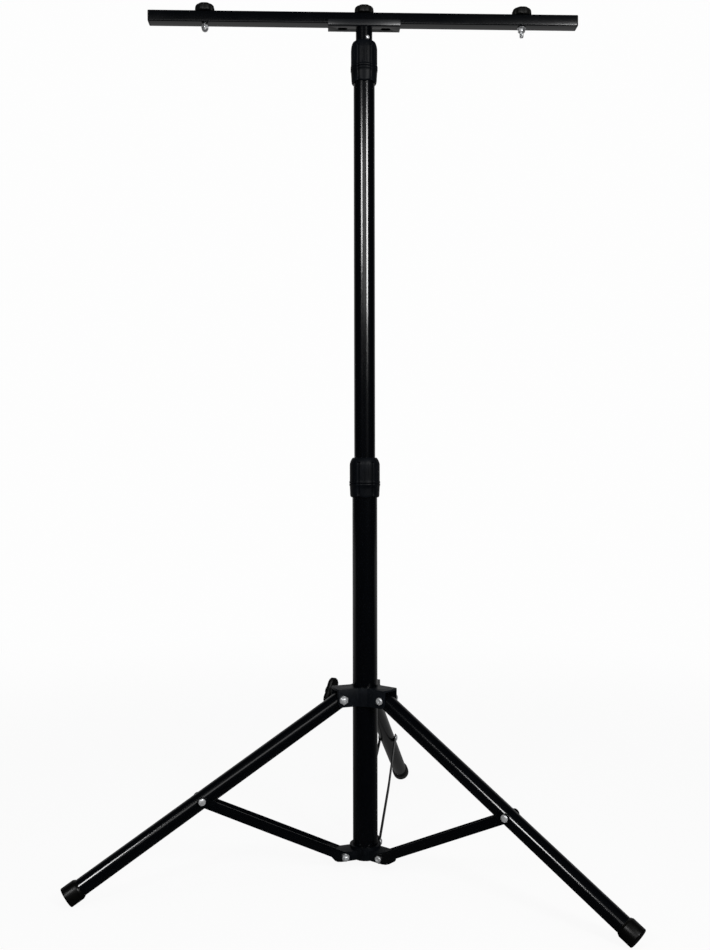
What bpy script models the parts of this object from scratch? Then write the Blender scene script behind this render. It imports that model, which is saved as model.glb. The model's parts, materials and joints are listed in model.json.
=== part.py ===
"""A folding light stand: a tripod with a sliding leg collar, a pole of three telescoping
tubes held by twist locks, and a T-bar with three clamping knobs for lamps.

Lengths are in metres. The origin is the centre of the pole's flat underside, +Z is up and
the T-bar lies along X. The stand is open, with the middle tube out and the top tube in.
"""

import math

import bmesh
import bpy
from mathutils import Matrix, Vector

# Clearances
GAP = 0.0003
BUSH_GAP = 0.0003
RIVET_GAP = 0.0002

# How far a cutting tool runs past the face it opens
OVERSHOOT = 0.002

# Pole tubes
LOWER_TUBE_DIAMETER = 0.038
MID_TUBE_DIAMETER = 0.032
TOP_TUBE_DIAMETER = 0.025
TUBE_WALL = 0.0012
LOWER_TUBE_LENGTH = 0.5807
MID_TUBE_LENGTH = 0.6769
TOP_TUBE_LENGTH = 0.600
MID_TUBE_OVERLAP = 0.0514
TOP_TUBE_SHOWING = 0.0212

# Plug in the foot of the pole
PLUG_FLANGE = 0.003
PLUG_DEPTH = 0.015
PLUG_WALL = 0.002

# Guide bushes on the feet of the sliding tubes
BUSH_FLANGE = 0.003
BUSH_SLEEVE = 0.027

# Twist locks
LOWER_LOCK_SEAT = 0.009
UPPER_LOCK_SEAT = 0.007
LOCK_THREAD_WALL = 0.0012
LOCK_THREAD_HEIGHT = 0.012
LOWER_LOCK_RADIUS = 0.0236
LOWER_LOCK_SKIRT = 0.021
LOWER_LOCK_SKIRT_TAPER = 0.0012
LOWER_LOCK_NUT = 0.0397
LOWER_LOCK_TOP_RIM = 0.0010
UPPER_LOCK_RADIUS = 0.0206
UPPER_LOCK_SKIRT = 0.0218
UPPER_LOCK_SKIRT_TAPER = 0.0014
UPPER_LOCK_NUT = 0.0395
UPPER_LOCK_TOP_RIM = 0.0038
LOCK_SHOULDER = 0.011
LOCK_SHOULDER_FULLNESS = 1.5
LOCK_SHOULDER_SHARES = (0.4, 0.75, 1.0)
LOCK_PANELS = 6
LOCK_RIBS_PER_PANEL = 3
LOCK_LIP = 0.0006
LOCK_LIP_HEIGHT = 0.003
LOCK_GROOVE = 0.0013
LOCK_RIB_GROOVE = 0.0005
LOCK_SCALLOP = 0.0020
COLLET_HEIGHT = 0.018
COLLET_SLIT = 0.002

# T-bar and its saddle
BAR_LENGTH = 0.6492
BAR_DEPTH = 0.0204
BAR_HEIGHT = 0.0167
BAR_WALL = 0.0015
BAR_CORNER = 0.0015
BAR_PLUG_HEAD = 0.002
BAR_PLUG_DEPTH = 0.014
SADDLE_LENGTH = 0.109
SADDLE_WALL = 0.002
SADDLE_FLOOR = 0.0044
SADDLE_FLANGE = 0.0100
SADDLE_SLOT_SPACING = 0.0654
SADDLE_SLOT_LENGTH = 0.0145
SADDLE_SLOT_WIDTH = 0.0075
SADDLE_SLOT_CORNER = 0.0034
KNOB_FROM_END = 0.0846

# Clamping knobs, their studs and nuts
KNOB_DIAMETER = 0.030
KNOB_HEIGHT = 0.0120
KNOB_LOBES = 8
KNOB_FLUTE = 0.0013
# Share of the radius, of the height and of the flute at each ring of a knob, from its foot up
KNOB_RINGS = ((0.94, 0.0, 0.0), (1.0, 0.12, 1.0), (0.98, 0.50, 1.0), (0.86, 0.82, 0.8), (0.55, 1.0, 0.3))
STUD_DIAMETER = 0.006
STUD_GRIP = 0.008
STUD_BELOW_BAR = 0.015
LEFT_STUD_BELOW_BAR = 0.0118
STUD_CHAMFER = 0.0008
NUT_ACROSS_FLATS = 0.010
NUT_HEIGHT = 0.0052
NUT_FLANGE_DIAMETER = 0.0136
NUT_FLANGE = 0.0013
CAP_NUT_HEIGHT = 0.0095
CAP_NUT_END = 0.0022
# Share of the flats and of the height at each ring of a cap nut's round end, from its shoulder down
CAP_NUT_RINGS = ((0.92, 0.42), (0.80, 0.14), (0.45, 0.0))
CAP_NUT_SHOULDER = 0.45
INSERT_HEIGHT = 0.026
INSERT_RIVET_DIAMETER = 0.0062
INSERT_RIVET_DEPTH = 0.0055
INSERT_RIVET_BULGE = 0.0014
INSERT_RIVET_BELOW_TOP = 0.0160
INSERT_RIVET_AZIMUTH = 155.0

# Tripod, with azimuths clockwise from +Y as seen from above
REAR_LEG_AZIMUTH = 11.5
LEG_COUNT = 3
LEG_DIAMETER = 0.025
LEG_WALL = 0.0012
LEG_LENGTH = 0.475
LEG_SLOPE = 31.2
LEG_PIVOT_RADIUS = 0.0412
LEG_PIVOT_HEIGHT = 0.2491
LEG_PIVOT_ABOVE_AXIS = 0.0022
STRUT_JOINT_ALONG_LEG = 0.2525
FOOT_DIAMETER = 0.030
FOOT_LENGTH = 0.023
FOOT_END = 0.004
FOOT_ROUND = 0.003

# Sliding leg collar
COLLAR_RADIUS = 0.024
COLLAR_HEIGHT = 0.0274
COLLAR_ABOVE_PIVOT = 0.0160
COLLAR_ARM_REACH = 0.0515
COLLAR_CHEEK = 0.0031
COLLAR_LEG_ROOM = 0.0007
COLLAR_ROOF = 0.0028
COLLAR_CORNER = 0.006
COLLAR_EDGE = 0.0009
COLLAR_BOSS_RADIUS = 0.0085
COLLAR_BOSS_REACH = 0.048

# Clamp of the leg collar
CLAMP_SCREW_DIAMETER = 0.008
CLAMP_PAD = 0.0024
CLAMP_BELOW_TOP = 0.0185
CLAMP_SCREW_SHOWING = 0.0045
WING_HUB_RADIUS = 0.0095
WING_HUB_LENGTH = 0.0225
WING_SPAN = 0.044
WING_END_RADIUS = 0.0100
WING_WAIST = 0.0092
WING_THICKNESS = 0.008
WING_SETBACK = 0.013
WING_SCREW_GRIP = 0.016
WING_TILT = 27.0
WING_EDGE = 0.0016
WING_HUB_CHAMFER = 0.0016
WING_HUB_TAPER = 0.0010

# Hub at the foot of the pole
HUB_HEIGHT = 0.0183
HUB_RADIUS = 0.024
HUB_ABOVE_FOOT = 0.0030
HUB_ARM_HEIGHT = 0.0140
HUB_ARM_REACH = 0.0520
HUB_ARM_CORNER = 0.0080
HUB_PIVOT_RADIUS = 0.039
HUB_PIVOT_HEIGHT = 0.0104

# Struts, each a pair of cranked flat strips
STRIP_WIDTH = 0.014
STRIP_THICKNESS = 0.0016
STRIP_FOOT_ROOM = 0.0003
STRIP_STRAIGHT_SHARE = 0.5
STRIP_PAD = 0.013

# Pivot bolts and rivets
BOLT_DIAMETER = 0.006
BOLT_HOLE = 0.0066
BOLT_HEAD_DIAMETER = 0.0112
BOLT_HEAD_HEIGHT = 0.0030
BOLT_RECESS_DIAMETER = 0.0046
BOLT_RECESS_DEPTH = 0.0014
BOLT_NUT_ACROSS_FLATS = 0.0108
BOLT_NUT_HEIGHT = 0.0045
BOLT_NUT_DOME = 0.0030
# Shares of the radius and of the height where a bolt's head and nut change slope
BOLT_CROWN_RADIUS = 0.75
BOLT_CROWN_DROP = 0.10
BOLT_RIM_HEIGHT = 0.45
BOLT_TIP_RADIUS = 0.35
RIVET_HEAD_DIAMETER = 0.0108
RIVET_HEAD_HEIGHT = 0.0026
RIVET_CROWN_RADIUS = 0.6
RIVET_CROWN_DROP = 0.2

# Facets round each kind of turned piece
POLE_SIDES = 30
LEG_SIDES = 18
FITTING_SIDES = 18
ENVELOPE_SIDES = 40
KNOB_SIDES_PER_LOBE = 4
PANEL_STEPS = 8
SMALL_SIDES = 12
ROUND_END_STEPS = 6
LEG_END_STEPS = 8
CORNER_STEPS = 3

# Heights of the pole's pieces, worked out from the foot upwards
lower_radius = LOWER_TUBE_DIAMETER / 2
mid_radius = MID_TUBE_DIAMETER / 2
top_radius = TOP_TUBE_DIAMETER / 2
lower_bore = lower_radius - TUBE_WALL
mid_bore = mid_radius - TUBE_WALL
top_bore = top_radius - TUBE_WALL
lower_bottom = PLUG_FLANGE + GAP
lower_top = lower_bottom + LOWER_TUBE_LENGTH
lower_split = lower_top - LOWER_LOCK_SEAT
mid_bottom = lower_top - MID_TUBE_OVERLAP
mid_top = mid_bottom + MID_TUBE_LENGTH
upper_split = mid_top - UPPER_LOCK_SEAT
upper_lock_top = upper_split + UPPER_LOCK_NUT
top_tube_top = upper_lock_top + TOP_TUBE_SHOWING
top_tube_bottom = top_tube_top - TOP_TUBE_LENGTH
saddle_bottom = top_tube_top + GAP
bar_bottom = saddle_bottom + SADDLE_FLOOR + GAP
bar_top = bar_bottom + BAR_HEIGHT
knob_spacing = BAR_LENGTH / 2 - KNOB_FROM_END
stud_radius = STUD_DIAMETER / 2
stud_hole = stud_radius + GAP
grip_steps = LOCK_PANELS * PANEL_STEPS
grip_start = -math.pi / 2 - math.pi / LOCK_PANELS

# Tripod geometry
slope = math.radians(LEG_SLOPE)
leg_radius = LEG_DIAMETER / 2
foot_radius = FOOT_DIAMETER / 2
strut_joint = Vector((
    LEG_PIVOT_RADIUS + STRUT_JOINT_ALONG_LEG * math.cos(slope),
    0.0,
    LEG_PIVOT_HEIGHT - STRUT_JOINT_ALONG_LEG * math.sin(slope),
))
hub_pivot = Vector((HUB_PIVOT_RADIUS, 0.0, HUB_PIVOT_HEIGHT))
strut_length = (strut_joint - hub_pivot).length
strut_rise = math.atan2(strut_joint.z - hub_pivot.z, strut_joint.x - hub_pivot.x)
strip_foot_offset = foot_radius + STRIP_FOOT_ROOM
strip_leg_offset = leg_radius + RIVET_GAP
collar_inner_half = leg_radius + COLLAR_LEG_ROOM
collar_outer_half = collar_inner_half + COLLAR_CHEEK
collar_top = LEG_PIVOT_HEIGHT + COLLAR_ABOVE_PIVOT
collar_bottom = collar_top - COLLAR_HEIGHT
hub_arm_half = strip_foot_offset - GAP
clamp_height = collar_top - CLAMP_BELOW_TOP
clamp_azimuth = REAR_LEG_AZIMUTH - 180.0 / LEG_COUNT


def clear_scene():
    for obj in list(bpy.data.objects):
        bpy.data.objects.remove(obj, do_unlink=True)


def finish_material(name, colour, roughness, metallic=0.0):
    material = bpy.data.materials.new(name)
    material.use_nodes = True
    shader = material.node_tree.nodes["Principled BSDF"]
    shader.inputs["Base Color"].default_value = (*colour, 1.0)
    shader.inputs["Roughness"].default_value = roughness
    shader.inputs["Metallic"].default_value = metallic
    return material


def finish_mesh(bm, name, recalculate=True):
    if recalculate:
        bmesh.ops.recalc_face_normals(bm, faces=bm.faces)
    mesh = bpy.data.meshes.new(name)
    bm.to_mesh(mesh)
    bm.free()
    return mesh


def turned(name, profile, sides):
    """A solid of revolution about Z. A profile that starts and ends on the axis is closed there."""
    bm = bmesh.new()
    points = [bm.verts.new((radius, 0.0, height)) for radius, height in profile]
    edges = [bm.edges.new(pair) for pair in zip(points, points[1:])]
    if profile[0][0] > 0.0:
        edges.append(bm.edges.new((points[-1], points[0])))
    bmesh.ops.spin(
        bm, geom=points + edges, axis=(0, 0, 1), cent=(0, 0, 0),
        angle=2 * math.pi, steps=sides, use_merge=True,
    )
    bmesh.ops.remove_doubles(bm, verts=bm.verts, dist=1e-6)
    return finish_mesh(bm, name)


def extruded(name, outline, low, high):
    """An outline of (x, y) points, raised from low to high along Z."""
    bm = bmesh.new()
    face = bm.faces.new([bm.verts.new((x, y, low)) for x, y in outline])
    raised = bmesh.ops.extrude_face_region(bm, geom=[face])["geom"]
    top_points = [v for v in raised if isinstance(v, bmesh.types.BMVert)]
    bmesh.ops.translate(bm, verts=top_points, vec=(0, 0, high - low))
    return finish_mesh(bm, name)


def lofted(name, rings, ring_shaped=False):
    """Rings of equal counts joined one to the next, with the ends capped or joined together."""
    bm = bmesh.new()
    rows = [[bm.verts.new(point) for point in ring] for ring in rings]
    pairs = list(zip(rows, rows[1:]))
    if ring_shaped:
        pairs.append((rows[-1], rows[0]))
    else:
        bm.faces.new(rows[0])
        bm.faces.new(rows[-1])
    for first, second in pairs:
        for i in range(len(first)):
            j = (i + 1) % len(first)
            bm.faces.new((first[i], first[j], second[j], second[i]))
    return finish_mesh(bm, name)


def circle(radius, height, sides, hexagonal=False, first=0.0):
    """Points of a circle about Z, or of a hexagon whose flats touch the circle."""
    points = []
    for i in range(sides):
        angle = first + 2 * math.pi * i / sides
        reach = radius
        if hexagonal:
            from_corner = (angle + math.pi / 6) % (math.pi / 3) - math.pi / 6
            reach = radius / math.cos(math.pi / 6 - abs(from_corner))
        points.append((reach * math.cos(angle), reach * math.sin(angle), height))
    return points


def moved(mesh, matrix):
    mesh.transform(matrix)
    return mesh


def along_x(mesh, offset=(0, 0, 0)):
    """Turns a piece made along +Z to lie along +X, then shifts it."""
    return moved(mesh, Matrix.Translation(offset) @ Matrix.Rotation(math.pi / 2, 4, "Y"))


def along_y(mesh, offset=(0, 0, 0)):
    """Turns a piece made along +Z to lie along +Y, then shifts it."""
    return moved(mesh, Matrix.Translation(offset) @ Matrix.Rotation(-math.pi / 2, 4, "X"))


def combined(mesh, other, operation):
    """The mesh joined with, cut by or kept inside the other, which is used up."""
    piece = bpy.data.objects.new("piece", mesh)
    tool = bpy.data.objects.new("tool", other)
    for obj in (piece, tool):
        bpy.context.scene.collection.objects.link(obj)
    modifier = piece.modifiers.new("shape", "BOOLEAN")
    modifier.operation = operation
    modifier.object = tool
    graph = bpy.context.evaluated_depsgraph_get()
    result = bpy.data.meshes.new_from_object(piece.evaluated_get(graph))
    result.name = mesh.name
    for obj in (piece, tool):
        bpy.data.objects.remove(obj, do_unlink=True)
    bpy.data.meshes.remove(mesh)
    bpy.data.meshes.remove(other)
    return result


def cut(mesh, *tools):
    for tool in tools:
        mesh = combined(mesh, tool, "DIFFERENCE")
    return mesh


def joined(mesh, *others):
    for other in others:
        mesh = combined(mesh, other, "UNION")
    return mesh


def rod(radius, low, high, sides=SMALL_SIDES):
    return turned("rod", [(0, high), (radius, high), (radius, low), (0, low)], sides)


def block(low, high):
    outline = [(low[0], low[1]), (high[0], low[1]), (high[0], high[1]), (low[0], high[1])]
    return extruded("block", outline, low[2], high[2])


def place(name, mesh, material, parent=None, location=(0, 0, 0), smooth_angle=32.0):
    mesh.shade_smooth()
    mesh.set_sharp_from_angle(angle=math.radians(smooth_angle))
    if not mesh.materials:
        mesh.materials.append(material)
    obj = bpy.data.objects.new(name, mesh)
    obj.location = location
    obj.parent = parent
    bpy.context.scene.collection.objects.link(obj)
    return obj


def guide(name, parent=None, location=(0, 0, 0), rotation=(0, 0, 0)):
    """An empty on a joint's axis, which carries the pieces that move about it."""
    empty = bpy.data.objects.new(name, None)
    empty.location = location
    empty.rotation_euler = rotation
    empty.parent = parent
    bpy.context.scene.collection.objects.link(empty)
    return empty


def turn_to(azimuth):
    """The turn about Z that brings local +X to this azimuth."""
    return math.radians(90.0 - azimuth)


def tube(name, radius, wall, low, high, sides=POLE_SIDES):
    bore = radius - wall
    profile = [(bore, high), (radius, high), (radius, low), (bore, low)]
    return turned(name, profile, sides)


def base_plug():
    spigot = lower_bore - GAP
    hollow = spigot - PLUG_WALL
    profile = [
        (0, PLUG_FLANGE),
        (hollow, PLUG_FLANGE),
        (hollow, PLUG_FLANGE + PLUG_DEPTH),
        (spigot, PLUG_FLANGE + PLUG_DEPTH),
        (spigot, PLUG_FLANGE),
        (lower_radius, PLUG_FLANGE),
        (lower_radius, 0),
        (0, 0),
    ]
    return turned("base_plug", profile, FITTING_SIDES)


def guide_bush(name, tube_radius, wall, outer_bore, tube_foot):
    """A flange under the tube's end with a sleeve around it, a running fit in the outer tube."""
    outer = outer_bore - BUSH_GAP
    inner = tube_radius - wall
    sleeve = tube_radius + GAP
    seat = tube_foot - GAP
    profile = [
        (sleeve, seat + BUSH_SLEEVE),
        (outer, seat + BUSH_SLEEVE),
        (outer, seat - BUSH_FLANGE),
        (inner, seat - BUSH_FLANGE),
        (inner, seat),
        (sleeve, seat),
    ]
    return turned(name, profile, FITTING_SIDES)


def grip_circle(radius, height):
    """A plain circle whose points line up with those of a panelled ring."""
    return circle(radius, height, grip_steps, first=grip_start)


def panelled_ring(radius, height, groove, rib_groove, drop=0.0):
    """One ring of a grip: panels parted by grooves, each with finer ribs. drop lowers panel middles."""
    rib_steps = PANEL_STEPS // LOCK_RIBS_PER_PANEL
    points = []
    for i in range(grip_steps):
        angle = grip_start + 2 * math.pi * i / grip_steps
        depth = 0.0
        if i % PANEL_STEPS == 0:
            depth = groove
        elif i % rib_steps == 0:
            depth = rib_groove
        bow = abs(math.sin(math.pi * i / PANEL_STEPS))
        reach = radius - depth
        points.append((reach * math.cos(angle), reach * math.sin(angle), height - drop * bow))
    return points


def lock_base(name, tube_radius, radius, split, skirt, taper):
    """The fixed half of a lock: a panelled skirt round the tube and a plain thread above it."""
    bore = tube_radius + GAP
    thread = bore + LOCK_THREAD_WALL
    top = split + LOCK_THREAD_HEIGHT
    bottom = split - skirt
    flare = radius - taper
    rings = [
        grip_circle(bore, top),
        grip_circle(thread, top),
        grip_circle(thread, split),
        panelled_ring(radius, split, LOCK_GROOVE, 0.0),
        panelled_ring(radius, split - LOCK_LIP_HEIGHT, LOCK_GROOVE, 0.0),
        panelled_ring(flare, bottom + 2 * LOCK_SCALLOP, LOCK_GROOVE / 2, 0.0),
        panelled_ring(flare - LOCK_GROOVE, bottom + LOCK_SCALLOP, 0.0, 0.0, LOCK_SCALLOP),
        grip_circle(bore, bottom + LOCK_SCALLOP),
    ]
    return lofted(name, rings, ring_shaped=True)


def lock_shoulder(radius, rim, share):
    """Radius of a lock nut's rounded shoulder, from its grip at share 0 to its rim at share 1."""
    power = LOCK_SHOULDER_FULLNESS
    return rim + (radius - rim) * (1 - share**power) ** (1 / power)


def lock_nut(name, outer_radius, inner_radius, radius, split, seat, height, top_rim):
    """The turning half of a lock: a ribbed grip over the thread, coned inside to close the collet."""
    bottom = split + GAP
    top = split + height
    thread_bore = outer_radius + GAP + LOCK_THREAD_WALL + GAP
    collet_top = split + seat + GAP + COLLET_HEIGHT
    collet_outer = outer_radius - GAP
    mouth = inner_radius + 2 * GAP
    rim = mouth + top_rim
    grip = radius - LOCK_LIP
    rings = [
        grip_circle(mouth, collet_top + GAP),
        grip_circle(collet_outer + GAP, collet_top - (collet_outer - mouth)),
        grip_circle(collet_outer + GAP, split + LOCK_THREAD_HEIGHT + GAP),
        grip_circle(thread_bore, split + LOCK_THREAD_HEIGHT + GAP),
        grip_circle(thread_bore, bottom),
        panelled_ring(radius, bottom, LOCK_GROOVE, 0.0),
        panelled_ring(radius, bottom + LOCK_LIP_HEIGHT, LOCK_GROOVE, 0.0),
        panelled_ring(grip, bottom + LOCK_LIP_HEIGHT + LOCK_LIP, LOCK_GROOVE, LOCK_RIB_GROOVE),
        panelled_ring(grip, top - LOCK_SHOULDER, LOCK_GROOVE, LOCK_RIB_GROOVE),
    ]
    for share in LOCK_SHOULDER_SHARES:
        fade = 1.0 - share
        rings.append(
            panelled_ring(
                lock_shoulder(grip, rim, share),
                top - LOCK_SHOULDER * (1 - share),
                LOCK_GROOVE * fade,
                LOCK_RIB_GROOVE * fade,
            )
        )
    rings.append(grip_circle(mouth, top))
    return lofted(name, rings, ring_shaped=True)


def collet(name, outer_radius, inner_radius, tube_top):
    """A split ring that stands on the outer tube's end and grips the inner tube."""
    low = tube_top + GAP
    high = low + COLLET_HEIGHT
    inner = inner_radius + GAP
    outer = outer_radius - GAP
    mouth = inner_radius + 2 * GAP
    profile = [
        (inner, high),
        (mouth, high),
        (outer, high - (outer - mouth) - GAP),
        (outer, low),
        (inner, low),
    ]
    ring = turned(name, profile, FITTING_SIDES)
    slit = block((0, -COLLET_SLIT / 2, low - GAP), (2 * outer, COLLET_SLIT / 2, high + GAP))
    return cut(ring, slit)


def rounded_rectangle(width, height, corner):
    points = []
    for quarter in range(4):
        side_x = 1 if quarter in (0, 3) else -1
        side_y = 1 if quarter in (0, 1) else -1
        centre_x = side_x * (width / 2 - corner)
        centre_y = side_y * (height / 2 - corner)
        for step in range(CORNER_STEPS):
            angle = math.pi / 2 * (quarter + step / (CORNER_STEPS - 1))
            points.append((centre_x + corner * math.cos(angle), centre_y + corner * math.sin(angle)))
    return points


def t_bar():
    """A rectangular tube along X, with a hole through it for each stud."""
    end = BAR_LENGTH / 2 - BAR_PLUG_HEAD - GAP
    outline = rounded_rectangle(BAR_DEPTH, BAR_HEIGHT, BAR_CORNER)
    inside = rounded_rectangle(
        BAR_DEPTH - 2 * BAR_WALL, BAR_HEIGHT - 2 * BAR_WALL, BAR_CORNER / 2
    )
    rings = []
    for points, x in ((outline, -end), (outline, end), (inside, end), (inside, -end)):
        rings.append([(x, across, bar_bottom + BAR_HEIGHT / 2 + up) for across, up in points])
    bar = lofted("t_bar", rings, ring_shaped=True)
    for x in knob_places().values():
        drill = rod(stud_hole, bar_bottom - OVERSHOOT, bar_top + OVERSHOOT)
        bar = cut(bar, moved(drill, Matrix.Translation((x, 0, 0))))
    return bar


def knob_places():
    return {"left": -knob_spacing, "centre": 0.0, "right": knob_spacing}


def bar_end_plug():
    """A cap for the bar's end: a head as large as the tube, and a hollow spigot inside it."""
    head = rounded_rectangle(BAR_DEPTH, BAR_HEIGHT, BAR_CORNER)
    spigot = rounded_rectangle(
        BAR_DEPTH - 2 * (BAR_WALL + GAP), BAR_HEIGHT - 2 * (BAR_WALL + GAP), BAR_CORNER / 2
    )
    hollow = rounded_rectangle(
        BAR_DEPTH - 4 * BAR_WALL, BAR_HEIGHT - 4 * BAR_WALL, BAR_CORNER / 3
    )
    outer_face = BAR_LENGTH / 2
    inner_face = outer_face - BAR_PLUG_HEAD
    tip = inner_face - BAR_PLUG_DEPTH
    middle = bar_bottom + BAR_HEIGHT / 2
    rings = []
    for points, x in (
        (head, outer_face), (head, inner_face), (spigot, inner_face),
        (spigot, tip), (hollow, tip), (hollow, inner_face),
    ):
        rings.append([(x, across, middle + up) for across, up in points])
    return lofted("bar_end_plug", rings)


def saddle():
    """A channel open upwards that cradles the bar, with two slots and a hole for the stud."""
    half_depth = BAR_DEPTH / 2 + GAP
    outer = half_depth + SADDLE_WALL
    floor = saddle_bottom + SADDLE_FLOOR
    rim = saddle_bottom + SADDLE_FLANGE
    outline = [
        (-outer + BAR_CORNER, saddle_bottom),
        (outer - BAR_CORNER, saddle_bottom),
        (outer, saddle_bottom + BAR_CORNER),
        (outer, rim),
        (half_depth, rim),
        (half_depth, floor),
        (-half_depth, floor),
        (-half_depth, rim),
        (-outer, rim),
        (-outer, saddle_bottom + BAR_CORNER),
    ]
    channel = extruded("bar_saddle", outline, -SADDLE_LENGTH / 2, SADDLE_LENGTH / 2)
    # The outline is drawn across the bar and up, so the extrusion is laid down along X.
    channel = moved(channel, Matrix(((0, 0, 1, 0), (1, 0, 0, 0), (0, 1, 0, 0), (0, 0, 0, 1))))
    below = saddle_bottom - GAP
    above = floor + GAP
    slot = rounded_rectangle(SADDLE_SLOT_LENGTH, SADDLE_SLOT_WIDTH, SADDLE_SLOT_CORNER)
    for side in (-1, 1):
        shifted = [(x + side * SADDLE_SLOT_SPACING / 2, y) for x, y in slot]
        channel = cut(channel, extruded("slot", shifted, below, above))
    return cut(channel, rod(stud_hole, below, above))


def tube_insert():
    """The threaded plug in the top tube that the middle stud screws into."""
    top = top_tube_top
    bottom = top - INSERT_HEIGHT
    outer = top_bore - GAP
    plug = turned(
        "tube_insert",
        [(stud_hole, top), (outer, top), (outer, bottom), (stud_hole, bottom)],
        FITTING_SIDES,
    )
    return cut(plug, insert_rivet_hole())


def insert_rivet_matrix():
    height = top_tube_top - INSERT_RIVET_BELOW_TOP
    turn = Matrix.Rotation(turn_to(INSERT_RIVET_AZIMUTH), 4, "Z")
    return Matrix.Translation((0, 0, height)) @ turn @ Matrix.Rotation(math.pi / 2, 4, "Y")


def insert_rivet_hole():
    inner = top_radius - INSERT_RIVET_DEPTH - GAP
    drill = rod(INSERT_RIVET_DIAMETER / 2 + GAP, inner, top_radius + OVERSHOOT)
    return moved(drill, insert_rivet_matrix())


def insert_rivet():
    radius = INSERT_RIVET_DIAMETER / 2
    inner = top_radius - INSERT_RIVET_DEPTH
    rise = INSERT_RIVET_BULGE
    profile = [
        (0, top_radius + rise),
        (radius * RIVET_CROWN_RADIUS, top_radius + rise * (1 - RIVET_CROWN_DROP)),
        (radius, top_radius),
        (radius, inner),
        (0, inner),
    ]
    return moved(turned("insert_rivet", profile, SMALL_SIDES), insert_rivet_matrix())


def top_tube():
    pipe = tube("top_tube", top_radius, TUBE_WALL, top_tube_bottom, top_tube_top)
    return cut(pipe, insert_rivet_hole())


def fluted_ring(radius, height, flute):
    count = KNOB_LOBES * KNOB_SIDES_PER_LOBE
    points = []
    for i in range(count):
        angle = 2 * math.pi * i / count
        depth = flute if i % KNOB_SIDES_PER_LOBE == 0 else 0.0
        reach = radius - depth
        points.append((reach * math.cos(angle), reach * math.sin(angle), height))
    return points


def knob():
    """A domed knob with flutes, hollow below where its stud is moulded in. It stands on z = 0."""
    radius = KNOB_DIAMETER / 2
    count = KNOB_LOBES * KNOB_SIDES_PER_LOBE
    rings = [circle(stud_hole, STUD_GRIP, count), circle(stud_hole, 0, count)]
    for wide, high, flute in KNOB_RINGS:
        rings.append(fluted_ring(radius * wide, KNOB_HEIGHT * high, KNOB_FLUTE * flute))
    return lofted("bar_knob", rings)


def stud(name, high, low):
    profile = [
        (0, high),
        (stud_radius, high),
        (stud_radius, low + STUD_CHAMFER),
        (stud_radius - STUD_CHAMFER, low),
        (0, low),
    ]
    return turned(name, profile, SMALL_SIDES)


def flange_nut(top):
    """A hexagon nut with a round flange against the bar's underside."""
    flat = NUT_ACROSS_FLATS / 2
    flange = NUT_FLANGE_DIAMETER / 2
    under = top - NUT_FLANGE
    bottom = under - NUT_HEIGHT
    rings = [
        circle(stud_hole, top, SMALL_SIDES),
        circle(flange, top, SMALL_SIDES),
        circle(flange, under, SMALL_SIDES),
        circle(flat, under, SMALL_SIDES, hexagonal=True),
        circle(flat, bottom + GAP, SMALL_SIDES, hexagonal=True),
        circle(flat - GAP, bottom, SMALL_SIDES),
        circle(stud_hole, bottom, SMALL_SIDES),
    ]
    return lofted("flange_nut", rings, ring_shaped=True)


def cap_nut(bottom):
    """A hexagon nut with a closed round end, screwed on the tip of its stud."""
    flat = NUT_ACROSS_FLATS / 2
    top = bottom + CAP_NUT_HEIGHT
    bore_end = bottom + CAP_NUT_END
    shoulder = bottom + CAP_NUT_HEIGHT * CAP_NUT_SHOULDER
    rings = [
        circle(stud_hole, bore_end, SMALL_SIDES),
        circle(stud_hole, top, SMALL_SIDES),
        circle(flat, top, SMALL_SIDES, hexagonal=True),
        circle(flat, shoulder, SMALL_SIDES, hexagonal=True),
    ]
    for wide, high in CAP_NUT_RINGS:
        rings.append(circle(flat * wide, bottom + CAP_NUT_HEIGHT * high, SMALL_SIDES))
    return lofted("cap_nut", rings)


def leg_tube():
    """A tube along +X, a little below its pivot, its inner end rounded about the pivot bolt."""
    end = LEG_LENGTH - FOOT_END - GAP
    pipe = tube("leg_tube", leg_radius, LEG_WALL, -leg_radius, end, LEG_SIDES)
    pipe = along_x(pipe, (0, 0, -LEG_PIVOT_ABOVE_AXIS))
    outline = [(end + GAP, -2 * leg_radius), (end + GAP, 2 * leg_radius), (0, 2 * leg_radius)]
    for step in range(LEG_END_STEPS + 1):
        angle = math.pi / 2 + math.pi * step / LEG_END_STEPS
        outline.append((leg_radius * math.cos(angle), leg_radius * math.sin(angle)))
    outline.append((0, -2 * leg_radius))
    keep = along_y(extruded("keep", outline, -2 * leg_radius, 2 * leg_radius))
    pipe = combined(pipe, keep, "INTERSECT")
    for x in (0.0, STRUT_JOINT_ALONG_LEG):
        drill = rod(BOLT_HOLE / 2, -2 * leg_radius, 2 * leg_radius)
        pipe = cut(pipe, along_y(drill, (x, 0, 0)))
    return pipe


def foot_cap():
    """A cup over the leg's end, rounded at its outer edge. The leg's axis is Z here."""
    bore = leg_radius + GAP
    end = LEG_LENGTH
    mouth = end - FOOT_LENGTH
    floor = end - FOOT_END
    profile = [(0, end)]
    for step in range(CORNER_STEPS):
        angle = math.pi / 2 * (1 - step / (CORNER_STEPS - 1))
        profile.append((
            foot_radius - FOOT_ROUND + FOOT_ROUND * math.cos(angle),
            end - FOOT_ROUND + FOOT_ROUND * math.sin(angle),
        ))
    profile += [
        (foot_radius, mouth + FOOT_ROUND / 3),
        (foot_radius - FOOT_ROUND / 3, mouth),
        (bore, mouth),
        (bore, floor),
        (0, floor),
    ]
    return along_x(turned("foot_cap", profile, LEG_SIDES), (0, 0, -LEG_PIVOT_ABOVE_AXIS))


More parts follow.
